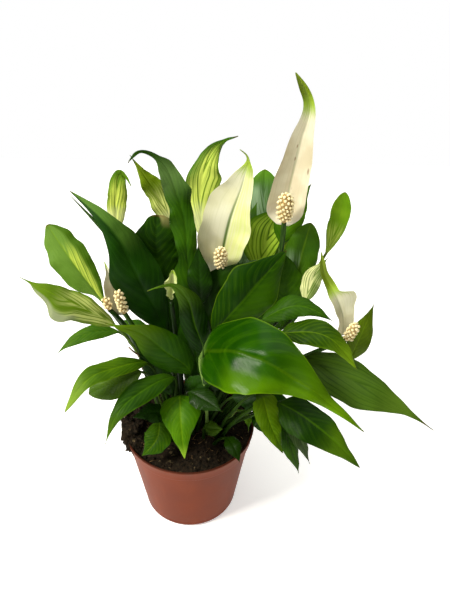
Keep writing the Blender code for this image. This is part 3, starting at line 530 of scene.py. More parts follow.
def skin(rings, start=None, end=None):
    """(verts, faces) of a closed skin over rings of points. Each end is a point or a flat face.
    With a start point, the rings turn the other way round."""
    count, flip = len(rings[0]), start is not None
    verts = [start] if flip else []
    firsts = range(len(verts), len(verts) + len(rings) * count, count)
    for points in rings:
        verts += points
    faces = []
    for a, b in zip(firsts, firsts[1:]):
        for k in range(count):
            after = (k + 1) % count
            quad = (a + k, a + after, b + after, b + k)
            faces.append((quad[0], quad[3], quad[2], quad[1]) if flip else quad)
    tips = []
    if end is not None:
        verts.append(end)
        tips = [(firsts[-1] + k, firsts[-1] + (k + 1) % count, len(verts) - 1) for k in range(count)]
    faces += [(a, c, b) for a, b, c in tips] if flip else tips
    if flip:
        faces += [(0, 1 + k, 1 + (k + 1) % count) for k in range(count)]
    else:
        faces.append(tuple(range(count - 1, -1, -1)))
    if end is None:
        faces.append(tuple(range(firsts[-1], firsts[-1] + count)))
    return verts, faces


def joined(parts):
    """Several (verts, faces) as one."""
    verts, faces = [], []
    for part_verts, part_faces in parts:
        start = len(verts)
        verts += part_verts
        faces += [tuple(start + k for k in face) for face in part_faces]
    return verts, faces


def mesh_from(name, verts, faces):
    mesh = bpy.data.meshes.new(name)
    mesh.from_pydata([point * MM for point in verts], [], faces)
    mesh.shade_smooth()
    mesh.validate()
    return mesh


def add_object(name, data):
    obj = bpy.data.objects.new(name, data)
    bpy.context.scene.collection.objects.link(obj)
    return obj


def add_piece(name, mesh, material, node=None):
    """An object that rides on the plant's body. node is the CAD node that it stands for."""
    obj = add_object(name, mesh)
    mesh.materials.clear()
    mesh.materials.append(material)
    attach(obj, BODY)
    if node:
        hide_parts(node)


# ---------------------------------------------------------------- blades

BLADE_STEPS = 64
STALK_STEPS = 14
HALF_COLUMNS = 10
COLUMN_POWER = 1.25  # above 1, the columns crowd towards the midrib
EASE_LENGTH = 0.13  # the share of the blade over which the round stalk flattens
LAST_RING = 0.995
HALF_THICKNESS = 0.22
TIP_HALF_WIDTH = 0.25
DRIP_START = 0.62  # where a blade starts to draw out into its thin tip
DRIP = 0.45
RIB_WIDTH = 1.1
RIB_DEPTH = 0.33
RIB_HEIGHT = 0.6
VEIN_POWER = 1.3
FOOT_DEPTH = 2.0  # how deep a stalk goes into the soil
FOOT_RADIUS = 1.7
NECK_RADIUS = 1.1
SPATHE_RADIUS = 1.0
SPATHE_VEINS = (9, 0.5)

HALF = [(k / HALF_COLUMNS) ** COLUMN_POWER for k in range(1, HALF_COLUMNS + 1)]
COLUMNS = [-s for s in reversed(HALF)] + [0.0] + HALF  # places across, -1 to 1
ROUND = COLUMNS + COLUMNS[-2:0:-1]  # over the upper face and back along the underside


def phase_of(name):
    """A number from 0 to 1 that differs from leaf to leaf."""
    return sum(ord(letter) * (i + 3) for i, letter in enumerate(name)) * 0.137 % 1.0


def flattened(t):
    """How flat a blade is at t: 0 is as round as its stalk, 1 is flat."""
    share = min(1.0, t / EASE_LENGTH)
    return share * share * (3 - 2 * share)


def plain_half_width(blade, t):
    """The half width at t of a blade that is given by width, widest and taper."""
    if t <= 0 or t >= 1:
        return 0.0
    rise = blade.taper * blade.widest / (1 - blade.widest)
    share = (t / blade.widest) ** rise * ((1 - t) / (1 - blade.widest)) ** blade.taper
    if blade.taper >= 1:
        share *= 1 - DRIP * min(1.0, max(0.0, (t - DRIP_START) / (1 - DRIP_START)))
    return blade.width / 2 * share


def half_widths(blade, t, radius):
    """The half widths left and right of the midrib at t, with an uneven outline."""
    least = max(TIP_HALF_WIDTH, radius * (1 - flattened(t)))
    widths = []
    for side, given in enumerate((blade.left, blade.right)):
        keys = tuple(zip(blade.at, given)) if blade.at else given
        half = keyed(keys, t) if keys else plain_half_width(blade, t)
        place = Vector((t * 6.5, phase_of(blade.name) * 30, side * 4.0))
        uneven = noise.noise(place) + 0.35 * noise.noise(place * 2.3)
        widths.append(max(least, half * (1 + 2 * blade.ragged * uneven * min(1.0, 5 * t))))
    return widths


def section(blade, place, t, halves, radius, veins, phase):
    """One ring of points: along the upper face from the left margin to the right one, then back
    along the underside. veins: (how many, slant)."""
    point, side, normal = place
    ease = flattened(t)
    body = math.sin(math.pi * t) ** 0.6
    fold, curl = blade.fold * ease, blade.curl * ease
    upper, lower = [], []
    for s in COLUMNS:
        a = abs(s)
        sign, half = (-1.0, halves[0]) if s < 0 else (1.0, halves[1])
        angle = math.radians(fold + curl * a)
        round_across = math.sin(s * math.pi / 2)
        out = half * (round_across + (s - round_across) * ease)
        middle = point + (side * (out * math.cos(angle)) + normal * (abs(out) * math.sin(angle)))
        facing = normal * math.cos(angle) - side * (sign * math.sin(angle))
        turn = 2 * math.pi * (blade.waves * t + phase + (0.37 if s > 0 else 0.0))
        swell = blade.wave * a**2 * (math.sin(turn) + 0.35 * math.sin(2.3 * turn + 1.0))
        ridge = abs(math.sin(math.pi * veins[0] * (t - veins[1] * a**VEIN_POWER))) - 0.5
        swell += blade.relief * min(1.0, a * 5) * (1 - a**4) * ridge
        swell += blade.bulge * 2 * noise.noise(middle * 0.045 + Vector((phase * 9, 0, 0)))
        middle = middle + facing * (swell * body * ease)
        thick = radius * math.sqrt(max(0.0, 1 - round_across**2))
        thick += (HALF_THICKNESS * (1 - a**6) - thick) * ease
        rib = math.exp(-((a * half / RIB_WIDTH) ** 2)) * ease * (1 - 0.6 * t)
        upper.append(middle + facing * (thick - RIB_DEPTH * rib))
        lower.append(middle - facing * (thick + RIB_HEIGHT * rib))
    return upper + lower[-2:0:-1]


def blade_stations(blade, course, start, radius, veins, phase):
    """(ring, place along) from the start of the blade, a length along the course, to its tip."""
    made = []
    for k in range(BLADE_STEPS + 1):
        t = k / BLADE_STEPS * LAST_RING
        place = course.station(start + (course.lengths[-1] - start) * t)
        halves = half_widths(blade, t, radius)
        made.append((section(blade, place, t, halves, radius, veins, phase), t))
    return made


def blade_mesh(name, stations, tip, stalk_steps=0):
    """A closed mesh through the stations, with a UV map (across, along) and a face attribute
    that is 1 on the underside."""
    mesh = mesh_from(name, *skin([points for points, _ in stations], end=tip))
    count, span, apex = len(ROUND), len(COLUMNS), len(stations) * len(ROUND)
    uvs = [(0.5 + 0.5 * s, along) for _, along in stations for s in ROUND] + [(0.5, 1.0)]
    layer = mesh.uv_layers.new(name="leaf")
    for loop in mesh.loops:
        layer.data[loop.index].uv = uvs[loop.vertex_index]
    under = [0.0 if k < span - 1 else 1.0 for k in range(count)] * len(stations) + [1.0]
    mesh.attributes.new("under", "FLOAT", "FACE").data.foreach_set("value", under)
    for edge in mesh.edges:
        a, b = sorted(edge.vertices)
        if b != apex and a % count == b % count and a % count in (0, span - 1):
            edge.use_edge_sharp = a >= stalk_steps * count
    return mesh


def build_leaf(blade):
    name = blade.name
    look = LOOKS.get(name) or LOOKS[blade.style]
    node = None if name.startswith("inner") else name
    foot = Vector((*blade.foot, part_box(node or "leaf_10")[0].z / MM))
    curve = smooth_path([foot, knee_between(foot, blade.path[0]), *blade.path])
    curve[0] = curve[0] + (curve[0] - curve[1]).normalized() * FOOT_DEPTH
    first = 2 * SPAN_SAMPLES
    course = Course(curve, (first + len(curve)) // 2, Vector(blade.faces))
    neck = course.lengths[first]
    phase = phase_of(name)
    stations = []
    for k in range(STALK_STEPS):
        share = k / STALK_STEPS
        radius = FOOT_RADIUS + (NECK_RADIUS - FOOT_RADIUS) * share
        points = section(blade, course.station(neck * share), 0.0, (radius, radius), radius, (1, 0), phase)
        stations.append((points, (share - 1) * 0.5))
    stations += blade_stations(blade, course, neck, NECK_RADIUS, (look.veins, look.slant), phase)
    mesh = blade_mesh(name, stations, curve[-1], STALK_STEPS)
    add_piece(name + "_look", mesh, leaf_material(name + "_green", look), node)


# ---------------------------------------------------------------- materials

TONE_SCALE = 28.0
UNDER_SHARE = 0.5  # how strongly the underside turns grey-green
HAIR_SHARE = 0.5
TIP_SHARE = 0.8
SOFT_ACROSS = 0.12  # half the width of a patch's soft edges
SOFT_ALONG = 0.09


def linear(colour):
    """A colour's screen values (0 to 255) as the linear colour that shaders use."""
    made = []
    for value in colour:
        share = value / 255
        made.append(share / 12.92 if share <= 0.04045 else ((share + 0.055) / 1.055) ** 2.4)
    return (*made, 1.0)


def mixed(a, b, share):
    """A linear colour between two screen colours."""
    return tuple(x + (y - x) * share for x, y in zip(linear(a), linear(b)))


class Nodes:
    """A material's node tree, with short calls for the nodes that it needs."""

    def __init__(self, name):
        self.material = bpy.data.materials.new(name)
        self.material.use_nodes = True
        self.tree = self.material.node_tree
        self.shader = self.tree.nodes["Principled BSDF"]
        self.colour = None

    def put(self, socket, value):
        """Link a socket or set a plain value. Three values are a screen colour."""
        if isinstance(value, bpy.types.NodeSocket):
            self.tree.links.new(value, socket)
        elif isinstance(value, tuple) and len(value) == 3:
            socket.default_value = linear(value)
        else:
            socket.default_value = value

    def new(self, kind, inputs=None, **settings):
        """The outputs of a new node. inputs: what goes into which socket."""
        node = self.tree.nodes.new("ShaderNode" + kind)
        for key, value in settings.items():
            setattr(node, key, value)
        for key, value in (inputs or {}).items():
            self.put(node.inputs[key], value)
        return node.outputs

    def math(self, operation, *values, clamp=False):
        return self.new("Math", dict(enumerate(values)), operation=operation, use_clamp=clamp)[0]

    def times(self, *values):
        made = values[0]
        for value in values[1:]:
            made = self.math("MULTIPLY", made, value)
        return made

    def scaled(self, value, factor, offset):
        return self.math("MULTIPLY_ADD", value, factor, offset)

    def less(self, value):
        """One minus the value."""
        return self.math("SUBTRACT", 1.0, value)

    def mix(self, share, a, b):
        """A colour mix, a at 0 and b at 1."""
        return self.new("Mix", {0: share, 6: a, 7: b}, data_type="RGBA", clamp_factor=True)[2]

    def ramp(self, value, low, high):
        """0 below low, 1 above high, smooth between."""
        inputs = {0: value, 1: low, 2: high}
        return self.new("MapRange", inputs, interpolation_type="SMOOTHSTEP", clamp=True)[0]

    def window(self, value, rise, fall):
        """1 between the rise and the fall, 0 outside them. Each is a (start, end) pair."""
        return self.times(self.ramp(value, *rise), self.less(self.ramp(value, *fall)))

    def within(self, value, low, high, soft):
        """1 between low and high, with soft edges."""
        return self.window(value, (low - soft, low + soft), (high - soft, high + soft))

    def vector(self, x, y, z):
        return self.new("CombineXYZ", {0: x, 1: y, 2: z})[0]

    def split(self, vector):
        return self.new("SeparateXYZ", {0: vector})

    def noise(self, vector, scale, detail=2.0, roughness=0.5):
        inputs = {"Vector": vector, "Scale": scale, "Detail": detail, "Roughness": roughness}
        return self.new("TexNoise", inputs)[0]

    def object_place(self):
        return self.new("TexCoord")["Object"]

    def flag(self, name):
        """A mesh attribute's value."""
        return self.new("Attribute", attribute_name=name)["Fac"]

    def across_along(self):
        """(-1 to 1 across, along) from the blade's UV map."""
        place = self.split(self.new("UVMap", uv_map="leaf")[0])
        return self.scaled(place[0], 2.0, -1.0), place[1]

    def on_side(self, share, side, right):
        """The share on one side only: -1 left, 1 right, 0 both."""
        return self.times(share, right if side > 0 else self.less(right)) if side else share

    def paint(self, colour, *shares):
        """Lay a colour over what is there, as strongly as the shares' product says."""
        self.colour = self.mix(self.times(*shares), self.colour, colour)

    def finish(self, rough, gloss, bump=None):
        """The material. bump: (height, strength, distance)."""
        self.put(self.shader.inputs["Base Color"], self.colour)
        self.put(self.shader.inputs["Roughness"], rough)
        self.put(self.shader.inputs["Specular IOR Level"], gloss)
        if bump:
            made = self.new("Bump", dict(zip(("Height", "Strength", "Distance"), bump)))
            self.put(self.shader.inputs["Normal"], made[0])
        return self.material


def streak_share(n, streaks, along, a, track, right, seed):
    """Where a leaf's streaks lie, and how strong they are: variegation, and on leaf_23 and leaf_25 painted
    sheen.
    """
    (low, high), (near, far) = streaks.along, streaks.across
    side_seed = n.scaled(right, 5.3, seed)
    cloud = n.noise(n.vector(n.times(track, 3.0), n.times(a, 1.2), side_seed), 1.6, 3.0)
    edge = 0.66 - 0.4 * streaks.cover
    drift = n.noise(n.vector(n.times(track, 2.4), n.times(along, 0.8), side_seed), 1.0)
    line = n.math("ADD", n.times(track, streaks.count * 1.25), n.times(drift, 0.8))
    line = n.ramp(n.math("COSINE", n.times(line, 2 * math.pi)), 0.5, 0.98)
    fine = n.vector(n.times(track, streaks.count * 4.0), n.times(a, 1.2), side_seed)
    share = n.times(
        n.window(along, (low - 0.08, low + 0.08), (high - 0.22, high + 0.1)),
        n.window(a, (near - 0.05, near + 0.1), (far - 0.3, far + 0.1)),
        n.ramp(cloud, edge - 0.1, edge + 0.12),
        n.less(n.times(line, 0.85)),
        n.ramp(n.noise(fine, 1.0), 0.2, 0.5),
        streaks.share,
    )
    return n.on_side(share, streaks.side, right)


def leaf_material(name, look):
    n = Nodes(name)
    across, along = n.across_along()
    a = n.math("ABSOLUTE", across)
    seed = phase_of(name) * 20
    track = n.math("SUBTRACT", along, n.times(n.math("POWER", a, VEIN_POWER), look.slant))
    wave = n.math("COSINE", n.times(track, 2 * math.pi * look.veins))
    tone = n.noise(n.object_place(), TONE_SCALE, 3.0)
    n.colour = n.mix(n.ramp(tone, 0.35, 0.68), look.dark, look.light)
    if look.vein_tone:
        fine = n.noise(n.vector(n.times(track, look.veins * 5.0), n.times(a, 2.0), seed), 1.0)
        share = n.times(n.ramp(wave, 0.9, -0.6), n.ramp(fine, 0.3, 0.8), look.vein_share * 1.6)
        n.paint(look.vein_tone, share, n.less(n.ramp(a, 0.82, 1.0)))
    # Streaks: variegation, and on leaf_23 and leaf_25 painted sheen.
    if look.streaks:
        right = n.ramp(across, -0.01, 0.01)
        share = streak_share(n, look.streaks, along, a, track, right, seed)
        n.paint(look.streaks.colour, share)
    # Patches: the leaves' own tones, and on leaf_19, leaf_23 and leaf_25 painted sheen.
    for paint, side, (near, far), (low, high), strength in look.patches:
        share = n.times(
            n.within(a, near, far, SOFT_ACROSS),
            n.within(along, low, high, SOFT_ALONG),
            n.ramp(tone, 0.15, 0.6),
            strength,
        )
        n.paint(paint, n.on_side(share, side, n.ramp(across, -0.12, 0.12)))
    if look.margin:
        n.paint(look.margin, n.ramp(a, 1 - 2 * look.margin_width, 1.0), look.margin_share)
    if look.tip:
        n.paint(look.tip, n.ramp(along, look.tip_from - 0.12, 1.0), TIP_SHARE)
    if look.rib:
        n.paint(look.rib, n.less(n.ramp(a, 0.02, 0.085)), look.rib_share)
    n.paint(look.stem, n.less(n.ramp(along, -0.04, 0.06)))
    n.paint(mixed(look.stem, DEEP, 0.6), n.less(n.ramp(along, -0.5, -0.2)))
    n.paint(TIP_BROWN, n.ramp(along, look.hair - 0.02, look.hair + 0.01), HAIR_SHARE)
    under = n.flag("under")
    n.paint(GREY_GREEN, under, n.ramp(along, 0.0, 0.1), UNDER_SHARE)
    rough = n.scaled(n.noise(n.object_place(), 900.0), 0.1, look.rough - 0.05)
    rough = n.math("ADD", rough, n.times(under, 0.2), clamp=True)
    fine = n.noise(n.vector(n.times(track, look.veins * 6.0), n.times(a, 3.0), seed), 2.0)
    height = n.math("ADD", n.times(wave, 0.25), n.times(fine, 0.6))
    return n.finish(rough, look.gloss, (height, 0.5, 0.0004))


def spathe_material(name, tip_from, tint=(216, 214, 172), green=0.0, green_side=0, rib_share=0.3,
                    spots=()):
    """Cream white with faint long veins, a green midrib behind, a green tip and brown spots.
    green: how green it is, on the right half only with green_side. spots: (across, along, size)."""
    n = Nodes(name)
    across, along = n.across_along()
    a = n.math("ABSOLUTE", across)
    tone = n.noise(n.object_place(), 45.0, 3.0)
    n.colour = n.mix(n.ramp(tone, 0.35, 0.7), mixed(tint, (236, 236, 214), 0.55), tint)
    seed = phase_of(name) * 9
    lines = n.noise(n.vector(n.times(across, 9.0), n.times(along, 1.4), seed), 1.6, 3.0)
    n.paint(mixed(tint, LIME, 0.25), n.ramp(lines, 0.45, 0.75), 0.3)
    if green:
        share = n.times(n.ramp(lines, 0.1, 0.7), green)
        n.paint((206, 222, 96), n.on_side(share, green_side, n.ramp(across, 0.0, 0.12)))
    rib = n.times(n.less(n.ramp(a, 0.02, 0.09)), n.less(n.ramp(along, 0.3, 1.1)), rib_share)
    n.paint((72, 104, 22), rib)
    place = n.math("ADD", along, n.scaled(lines, 0.16, -0.08))
    n.paint(YELLOW_GREEN, n.ramp(place, tip_from - 0.12, tip_from))
    n.paint((112, 134, 14), n.ramp(place, tip_from - 0.02, tip_from + 0.09))
    for s, t, size in spots:
        gap = n.math("POWER", n.math("SUBTRACT", across, s), 2.0)
        long_gap = n.math("POWER", n.times(n.math("SUBTRACT", along, t), 3.0), 2.0)
        gap = n.math("ADD", n.math("ADD", gap, long_gap), n.scaled(tone, 0.02, -0.01))
        n.paint((120, 84, 52), n.less(n.ramp(gap, 0.0, size**2)), 0.7)
    n.paint(mixed(CREAM, LIME, 0.4), n.flag("under"), 0.3)
    height = n.math("ADD", n.times(lines, 0.7), n.times(tone, 0.3))
    return n.finish(n.scaled(tone, 0.14, 0.42), 0.35, (height, 0.35, 0.0005))


def stalk_material(name, dark, light):
    n = Nodes(name)
    where = n.object_place()
    x, y, z = n.split(where)
    stripes = n.noise(n.vector(n.times(x, 900.0), n.times(y, 900.0), n.times(z, 40.0)), 1.0)
    n.colour = n.mix(n.ramp(stripes, 0.35, 0.7), dark, light)
    blotch = n.noise(where, 120.0)
    n.paint((96, 112, 50), n.ramp(blotch, 0.6, 0.8), 0.3)
    return n.finish(n.scaled(blotch, 0.15, 0.32), 0.1, (stripes, 0.4, 0.0004))


def spadix_material():
    n = Nodes("spadix_cream")
    where = n.object_place()
    tone = n.noise(where, 260.0, 3.0)
    n.colour = n.mix(n.ramp(tone, 0.3, 0.7), (250, 238, 192), (232, 212, 154))
    # The core and the feet of the nubs are painted tan: painted shade in the crevices between the florets.
    n.paint((176, 148, 92), n.less(n.flag("nub")))
    grains = n.noise(where, 1400.0)
    return n.finish(n.scaled(tone, 0.2, 0.55), 0.3, (grains, 0.3, 0.0003))


def pot_material():
    """Moulded terracotta-coloured plastic: faint rings and streaks, scuffs and dust."""
    n = Nodes("terracotta_plastic")
    where = n.object_place()
    x, y, z = n.split(where)
    cloud = n.noise(where, 22.0, 4.0)
    n.colour = n.mix(n.ramp(cloud, 0.3, 0.7), (104, 44, 20), (116, 51, 25))
    flow = n.noise(n.vector(n.times(x, 90.0), n.times(y, 90.0), n.times(z, 12.0)), 1.0, 4.0)
    n.paint((130, 64, 36), n.ramp(flow, 0.5, 0.75), 0.3)
    grains = n.noise(where, 700.0, 3.0)
    n.paint((120, 60, 38), n.ramp(grains, 0.62, 0.8), 0.35)
    dust = n.times(n.ramp(z, 0.086, 0.0945), n.ramp(n.noise(where, 160.0, 4.0), 0.4, 0.65))
    n.paint((96, 58, 40), dust, 0.5)
    n.paint((52, 23, 12), n.ramp(z, 0.0935, 0.0946), 0.8)
    height = n.math("ADD", n.times(grains, 0.4), n.times(flow, 0.4))
    return n.finish(n.scaled(cloud, 0.18, 0.42), 0.09, (height, 0.3, 0.0003))


def fibre_material():
    n = Nodes("root_fibre")
    tone = n.noise(n.object_place(), 300.0)
    n.colour = n.mix(n.ramp(tone, 0.3, 0.7), (70, 50, 30), (128, 100, 66))
    return n.finish(0.8, 0.15, (tone, 0.4, 0.0003))


def soil_material():
    n = Nodes("potting_soil")
    where = n.object_place()
    grains = n.noise(where, 380.0, 5.0, 0.65)
    n.colour = n.mix(n.ramp(grains, 0.3, 0.75), (12, 10, 6), (46, 36, 24))
    cells = n.new("TexVoronoi", {"Vector": where, "Scale": 420.0})
    pick = n.new("SeparateColor", {0: cells["Color"]})
    n.paint((120, 104, 74), n.ramp(pick[0], 0.95, 0.98), 0.45)
    n.paint((34, 24, 14), n.ramp(pick[1], 0.8, 0.9), 0.5)
    height = n.math("ADD", n.times(grains, 0.6), n.times(cells["Distance"], 0.5))
    return n.finish(n.scaled(grains, 0.1, 0.82), 0.12, (height, 0.9, 0.0016))


# ---------------------------------------------------------------- flowers

FLOWER_STALK = (2.3, 1.9)  # radius at the foot and at the top
FLOWER_STALK_RIDGE = 0.04
GOLDEN_TURN = math.radians(137.508)
NUB_ROWS = ((0.0, 0.7), (0.5, 0.95), (1.0, 0.8), (1.35, 0.45))  # (height, radius), as shares
NUB_TOP = 1.45
NUB_SIDES = 7
NUB_SIZE = 1.3
NUB_DENSITY = 0.42  # nubs per square mm of length by radius
NUB_START = 0.14
CORE_STEPS = 14
CORE_SIDES = 16
CORE_END = 0.985
HEAD_START = 0.72  # where the spadix starts to round off


def tube(points, radius_at, sides=14, ridge=0.0):
    """A round stalk along close points, as (verts, faces)."""
    course = Course(points, len(points) // 2, Vector((0, -1, 0.1)))
    rings = []
    for i, point in enumerate(points):
        across, radius = course.sides[i], radius_at(i / (len(points) - 1))
        rings.append(ring(point, across, across.cross(course.tangents[i]), radius, sides, ridge))
    return skin(rings)


def build_stalk(flower, material):
    name = flower.name + "_stalk"
    foot = Vector((*flower.foot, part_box(name)[0].z / MM - FOOT_DEPTH))
    passed = [flower.bend, flower.top] if flower.bend else [flower.top]
    curve = smooth_path([foot, knee_between(foot, passed[0]), *passed])
    low, high = FLOWER_STALK
    stalk = tube(curve, lambda share: low + (high - low) * share, ridge=FLOWER_STALK_RIDGE)
    add_piece(name + "_look", mesh_from(name, *stalk), material, name)


def build_spathe(flower):
    name = flower.name + "_spathe"
    blade = Blade(flower.name, None, **{**HOOD, **flower.hood})
    curve = smooth_path(blade.path)
    course = Course(curve, len(curve) // 3, Vector(blade.faces))
    stations = blade_stations(blade, course, 0.0, SPATHE_RADIUS, SPATHE_VEINS, phase_of(name))
    material = spathe_material("spathe_" + flower.name[-1], **flower.finish)
    add_piece(name + "_look", blade_mesh(name, stations, curve[-1]), material, name)


def nub(centre, outward, size):
    """One floret: a small blunt knob that stands on the spadix."""
    across = outward.orthogonal().normalized()
    other = outward.cross(across)
    rings = []
    for height, reach in NUB_ROWS:
        middle = centre + outward * (size * height)
        rings.append(ring(middle, across, other, size * reach, NUB_SIDES))
    return skin(rings, end=centre + outward * (size * NUB_TOP))


def build_spadix(flower, material):
    name = flower.name + "_spadix"
    base = Vector(flower.top)
    axis = Vector(flower.tip) - base
    length = axis.length
    axis.normalize()
    across = axis.orthogonal().normalized()
    other = axis.cross(across)
    core = flower.radius - NUB_SIZE * 0.9

    def past_head(share):
        return max(0.0, (share - HEAD_START) / (1 - HEAD_START))

    def reach(share):
        """The core's radius along the spadix."""
        foot = min(1.0, 0.45 + share * 3.0)
        return core * foot * math.sqrt(max(0.0, 1 - past_head(share) ** 2))

    rings = []
    for i in range(CORE_STEPS):
        share = i / (CORE_STEPS - 1) * CORE_END
        rings.append(ring(base + axis * (share * length), across, other, reach(share), CORE_SIDES))
    parts = [skin(rings)]
    count = int(length * flower.radius * NUB_DENSITY)
    for i in range(count):
        share = NUB_START + (1 - NUB_START) * (i + 0.5) / count
        angle = GOLDEN_TURN * i
        way = across * math.cos(angle) + other * math.sin(angle)
        outward = (way + axis * (past_head(share) ** 2 * 2.2 + 0.1)).normalized()
        centre = base + axis * (share * length) + way * (reach(share) * 0.96)
        parts.append(nub(centre, outward, NUB_SIZE))
    mesh = mesh_from(name, *joined(parts))
    # nub: 0 on the core and at the feet of the nubs, where the material paints shade, rising to 1 up each
    # nub.
    nub_flags = [min(1.0, height * 2.5) for height, _ in NUB_ROWS for _ in range(NUB_SIDES)] + [1.0]
    flags = [0.0] * (CORE_STEPS * CORE_SIDES) + nub_flags * count
    mesh.attributes.new("nub", "FLOAT", "POINT").data.foreach_set("value", flags)
    add_piece(name + "_look", mesh, material, name)


# ---------------------------------------------------------------- pot and soil

POT_STEPS = 144
SHARP_ANGLE = 38
DRAIN_HOLES = 6
DRAIN_RADIUS = 4.0
DRAIN_CIRCLE = 22.5
DRILL_DEPTH = 12.0
BASE_RADIUS = 44.5
BASE_ROUND = 5.0
SHOULDER_RADIUS = 56.4
SHOULDER_HEIGHT = 83.0
WALL = 1.6
FLOOR = 3.2
LIP_CENTRE = (59.1, 94.1)
LIP_ROUND = 0.9
FOOT_RING = 34.0  # its inner radius
COLLAR_INSIDE = 58.2
COLLAR_STEP = 86.0  # where the inside steps out above the shoulder
WALL_START = 9.0  # where the wall leaves the rounded corner of the floor

# (radius, height) from under the lip down to the round of the base
OUTSIDE = (
    (59.7, 92.6), (59.2, 91.9), (58.1, 84.0), (57.8, 83.0), (57.2, 82.2), (56.5, 81.8),
    (56.15, 80.4), (53.0, 60.0), (50.0, 41.0), (47.2, 22.5), (45.0, 8.5),
)
# (radius, height) from the foot ring to the middle
UNDERSIDE = ((FOOT_RING, 0.0), (33.0, 1.6), (14.0, 1.6), (13.0, 0.0))


def arc(centre, radius, start, end, steps):
    made = []
    for i in range(steps + 1):
        angle = math.radians(start + (end - start) * i / steps)
        made.append((centre[0] + radius * math.cos(angle), centre[1] + radius * math.sin(angle)))
    return made


def inner_wall_radius(height):
    share = (height - BASE_ROUND) / (SHOULDER_HEIGHT - BASE_ROUND)
    return BASE_RADIUS + (SHOULDER_RADIUS - BASE_RADIUS) * max(share, 0.0) - WALL


def pot_profile():
    """(radius, height) pairs from the floor up the inside, over the lip and down the outside."""
    base = BASE_RADIUS - BASE_ROUND
    profile = [(FOOT_RING, FLOOR), (base, FLOOR), (inner_wall_radius(BASE_ROUND) - 1.2, 5.4)]
    profile += [(inner_wall_radius(height), height) for height in (WALL_START, 46.0, SHOULDER_HEIGHT)]
    profile += [(COLLAR_INSIDE, COLLAR_STEP), (COLLAR_INSIDE, LIP_CENTRE[1])]
    profile += arc(LIP_CENTRE, LIP_ROUND, 150, 0, 6)
    profile += OUTSIDE
    profile += arc((base, BASE_ROUND), BASE_ROUND, 8, -90, 8)
    return [*profile, *UNDERSIDE]


def drilled(mesh):
    """The pot's mesh with its drain holes cut."""
    obj = add_object("pot_blank", mesh)
    cutters = []
    for i in range(DRAIN_HOLES):
        angle = 2 * math.pi * (i + 0.5) / DRAIN_HOLES
        place = Vector((DRAIN_CIRCLE * math.cos(angle), DRAIN_CIRCLE * math.sin(angle), WALL)) * MM
        bpy.ops.mesh.primitive_cylinder_add(
            vertices=32, radius=DRAIN_RADIUS * MM, depth=DRILL_DEPTH * MM, location=place)
        cutters.append(bpy.context.object)
        cut = obj.modifiers.new("drill", "BOOLEAN")
        cut.operation = "DIFFERENCE"
        cut.solver = "EXACT"
        cut.object = cutters[-1]
    bpy.context.view_layer.update()
    done = bpy.data.meshes.new_from_object(obj.evaluated_get(bpy.context.evaluated_depsgraph_get()))
    for extra in [obj, *cutters]:
        bpy.data.objects.remove(extra, do_unlink=True)
    return done


def build_pot():
    rings = [level_ring(radius, height, POT_STEPS) for radius, height in pot_profile()]
    blank = skin(rings, Vector((0, 0, FLOOR)), Vector((0, 0, 0)))
    mesh = drilled(mesh_from("pot", *blank))
    mesh.shade_smooth()
    mesh.set_sharp_from_angle(angle=math.radians(SHARP_ANGLE))
    add_piece("pot_look", mesh, pot_material(), "nursery_pot")


SOIL_TOP = 93.4
SOIL_RIM = 57.9
SOIL_RINGS = 46
SOIL_STEPS = 200
SOIL_GAP = 0.3  # between the soil and the pot
SOIL_STEP = 86.2  # height of its step over the shoulder
SOIL_FALLS = ((30, 16, 1.0), (46, 12, 2.5))  # from this radius, over this length, by this much


def soil_height(x, y):
    """The soil's surface: a low crown, lumps and grains."""
    r = math.hypot(x, y)
    fall = sum(drop * min(1.0, max(0.0, r - start) / length) for start, length, drop in SOIL_FALLS)
    place = Vector((x, y, 0.0))
    lumps = 1.1 * noise.noise(place * 0.09) + 0.9 * noise.noise(place * 0.24 + Vector((5, 0, 0)))
    grain = 0.55 * noise.noise(place * 0.62 + Vector((0, 9, 0))) + 0.4 * noise.noise(place * 1.4)
    return SOIL_TOP - fall + lumps + grain


def build_soil(material):
    rings = []
    for i in range(1, SOIL_RINGS + 1):
        points = level_ring(SOIL_RIM * i / SOIL_RINGS, 0.0, SOIL_STEPS)
        rings.append([Vector((p.x, p.y, soil_height(p.x, p.y))) for p in points])
    below = [(SOIL_RIM, SOIL_STEP)]
    below += [(inner_wall_radius(height) - SOIL_GAP, height) for height in (SHOULDER_HEIGHT, WALL_START)]
    below += [(inner_wall_radius(BASE_ROUND) - 2.4, 5.6), (38.5, FLOOR + SOIL_GAP)]
    rings += [level_ring(radius, height, SOIL_STEPS) for radius, height in below]
    soil = skin(rings, Vector((0, 0, soil_height(0, 0))), Vector((0, 0, FLOOR + SOIL_GAP)))
    add_piece("soil_look", mesh_from("soil", *soil), material, "potting_soil")


def lump(centre, radii, seed, uneven=0.35, rows=4, sides=6):
    """An uneven closed crumb or clod, as (verts, faces)."""

    def place(polar, turn):
        way = Vector((math.sin(polar) * math.cos(turn), math.sin(polar) * math.sin(turn), math.cos(polar)))
        spot = way * 1.6 + Vector((seed, 0, 0))
        bumps = noise.noise(spot) + 0.6 * noise.noise(spot * 3) + 0.35 * noise.noise(spot * 8)
        return centre + Vector([w * radius * (1 + uneven * bumps) for w, radius in zip(way, radii)])

    turns = [2 * math.pi * k / sides for k in range(sides)]
    rings = [[place(math.pi * r / rows, turn) for turn in turns] for r in range(1, rows)]
    return skin(rings, place(0.0, 0.0), place(math.pi, 0.0))


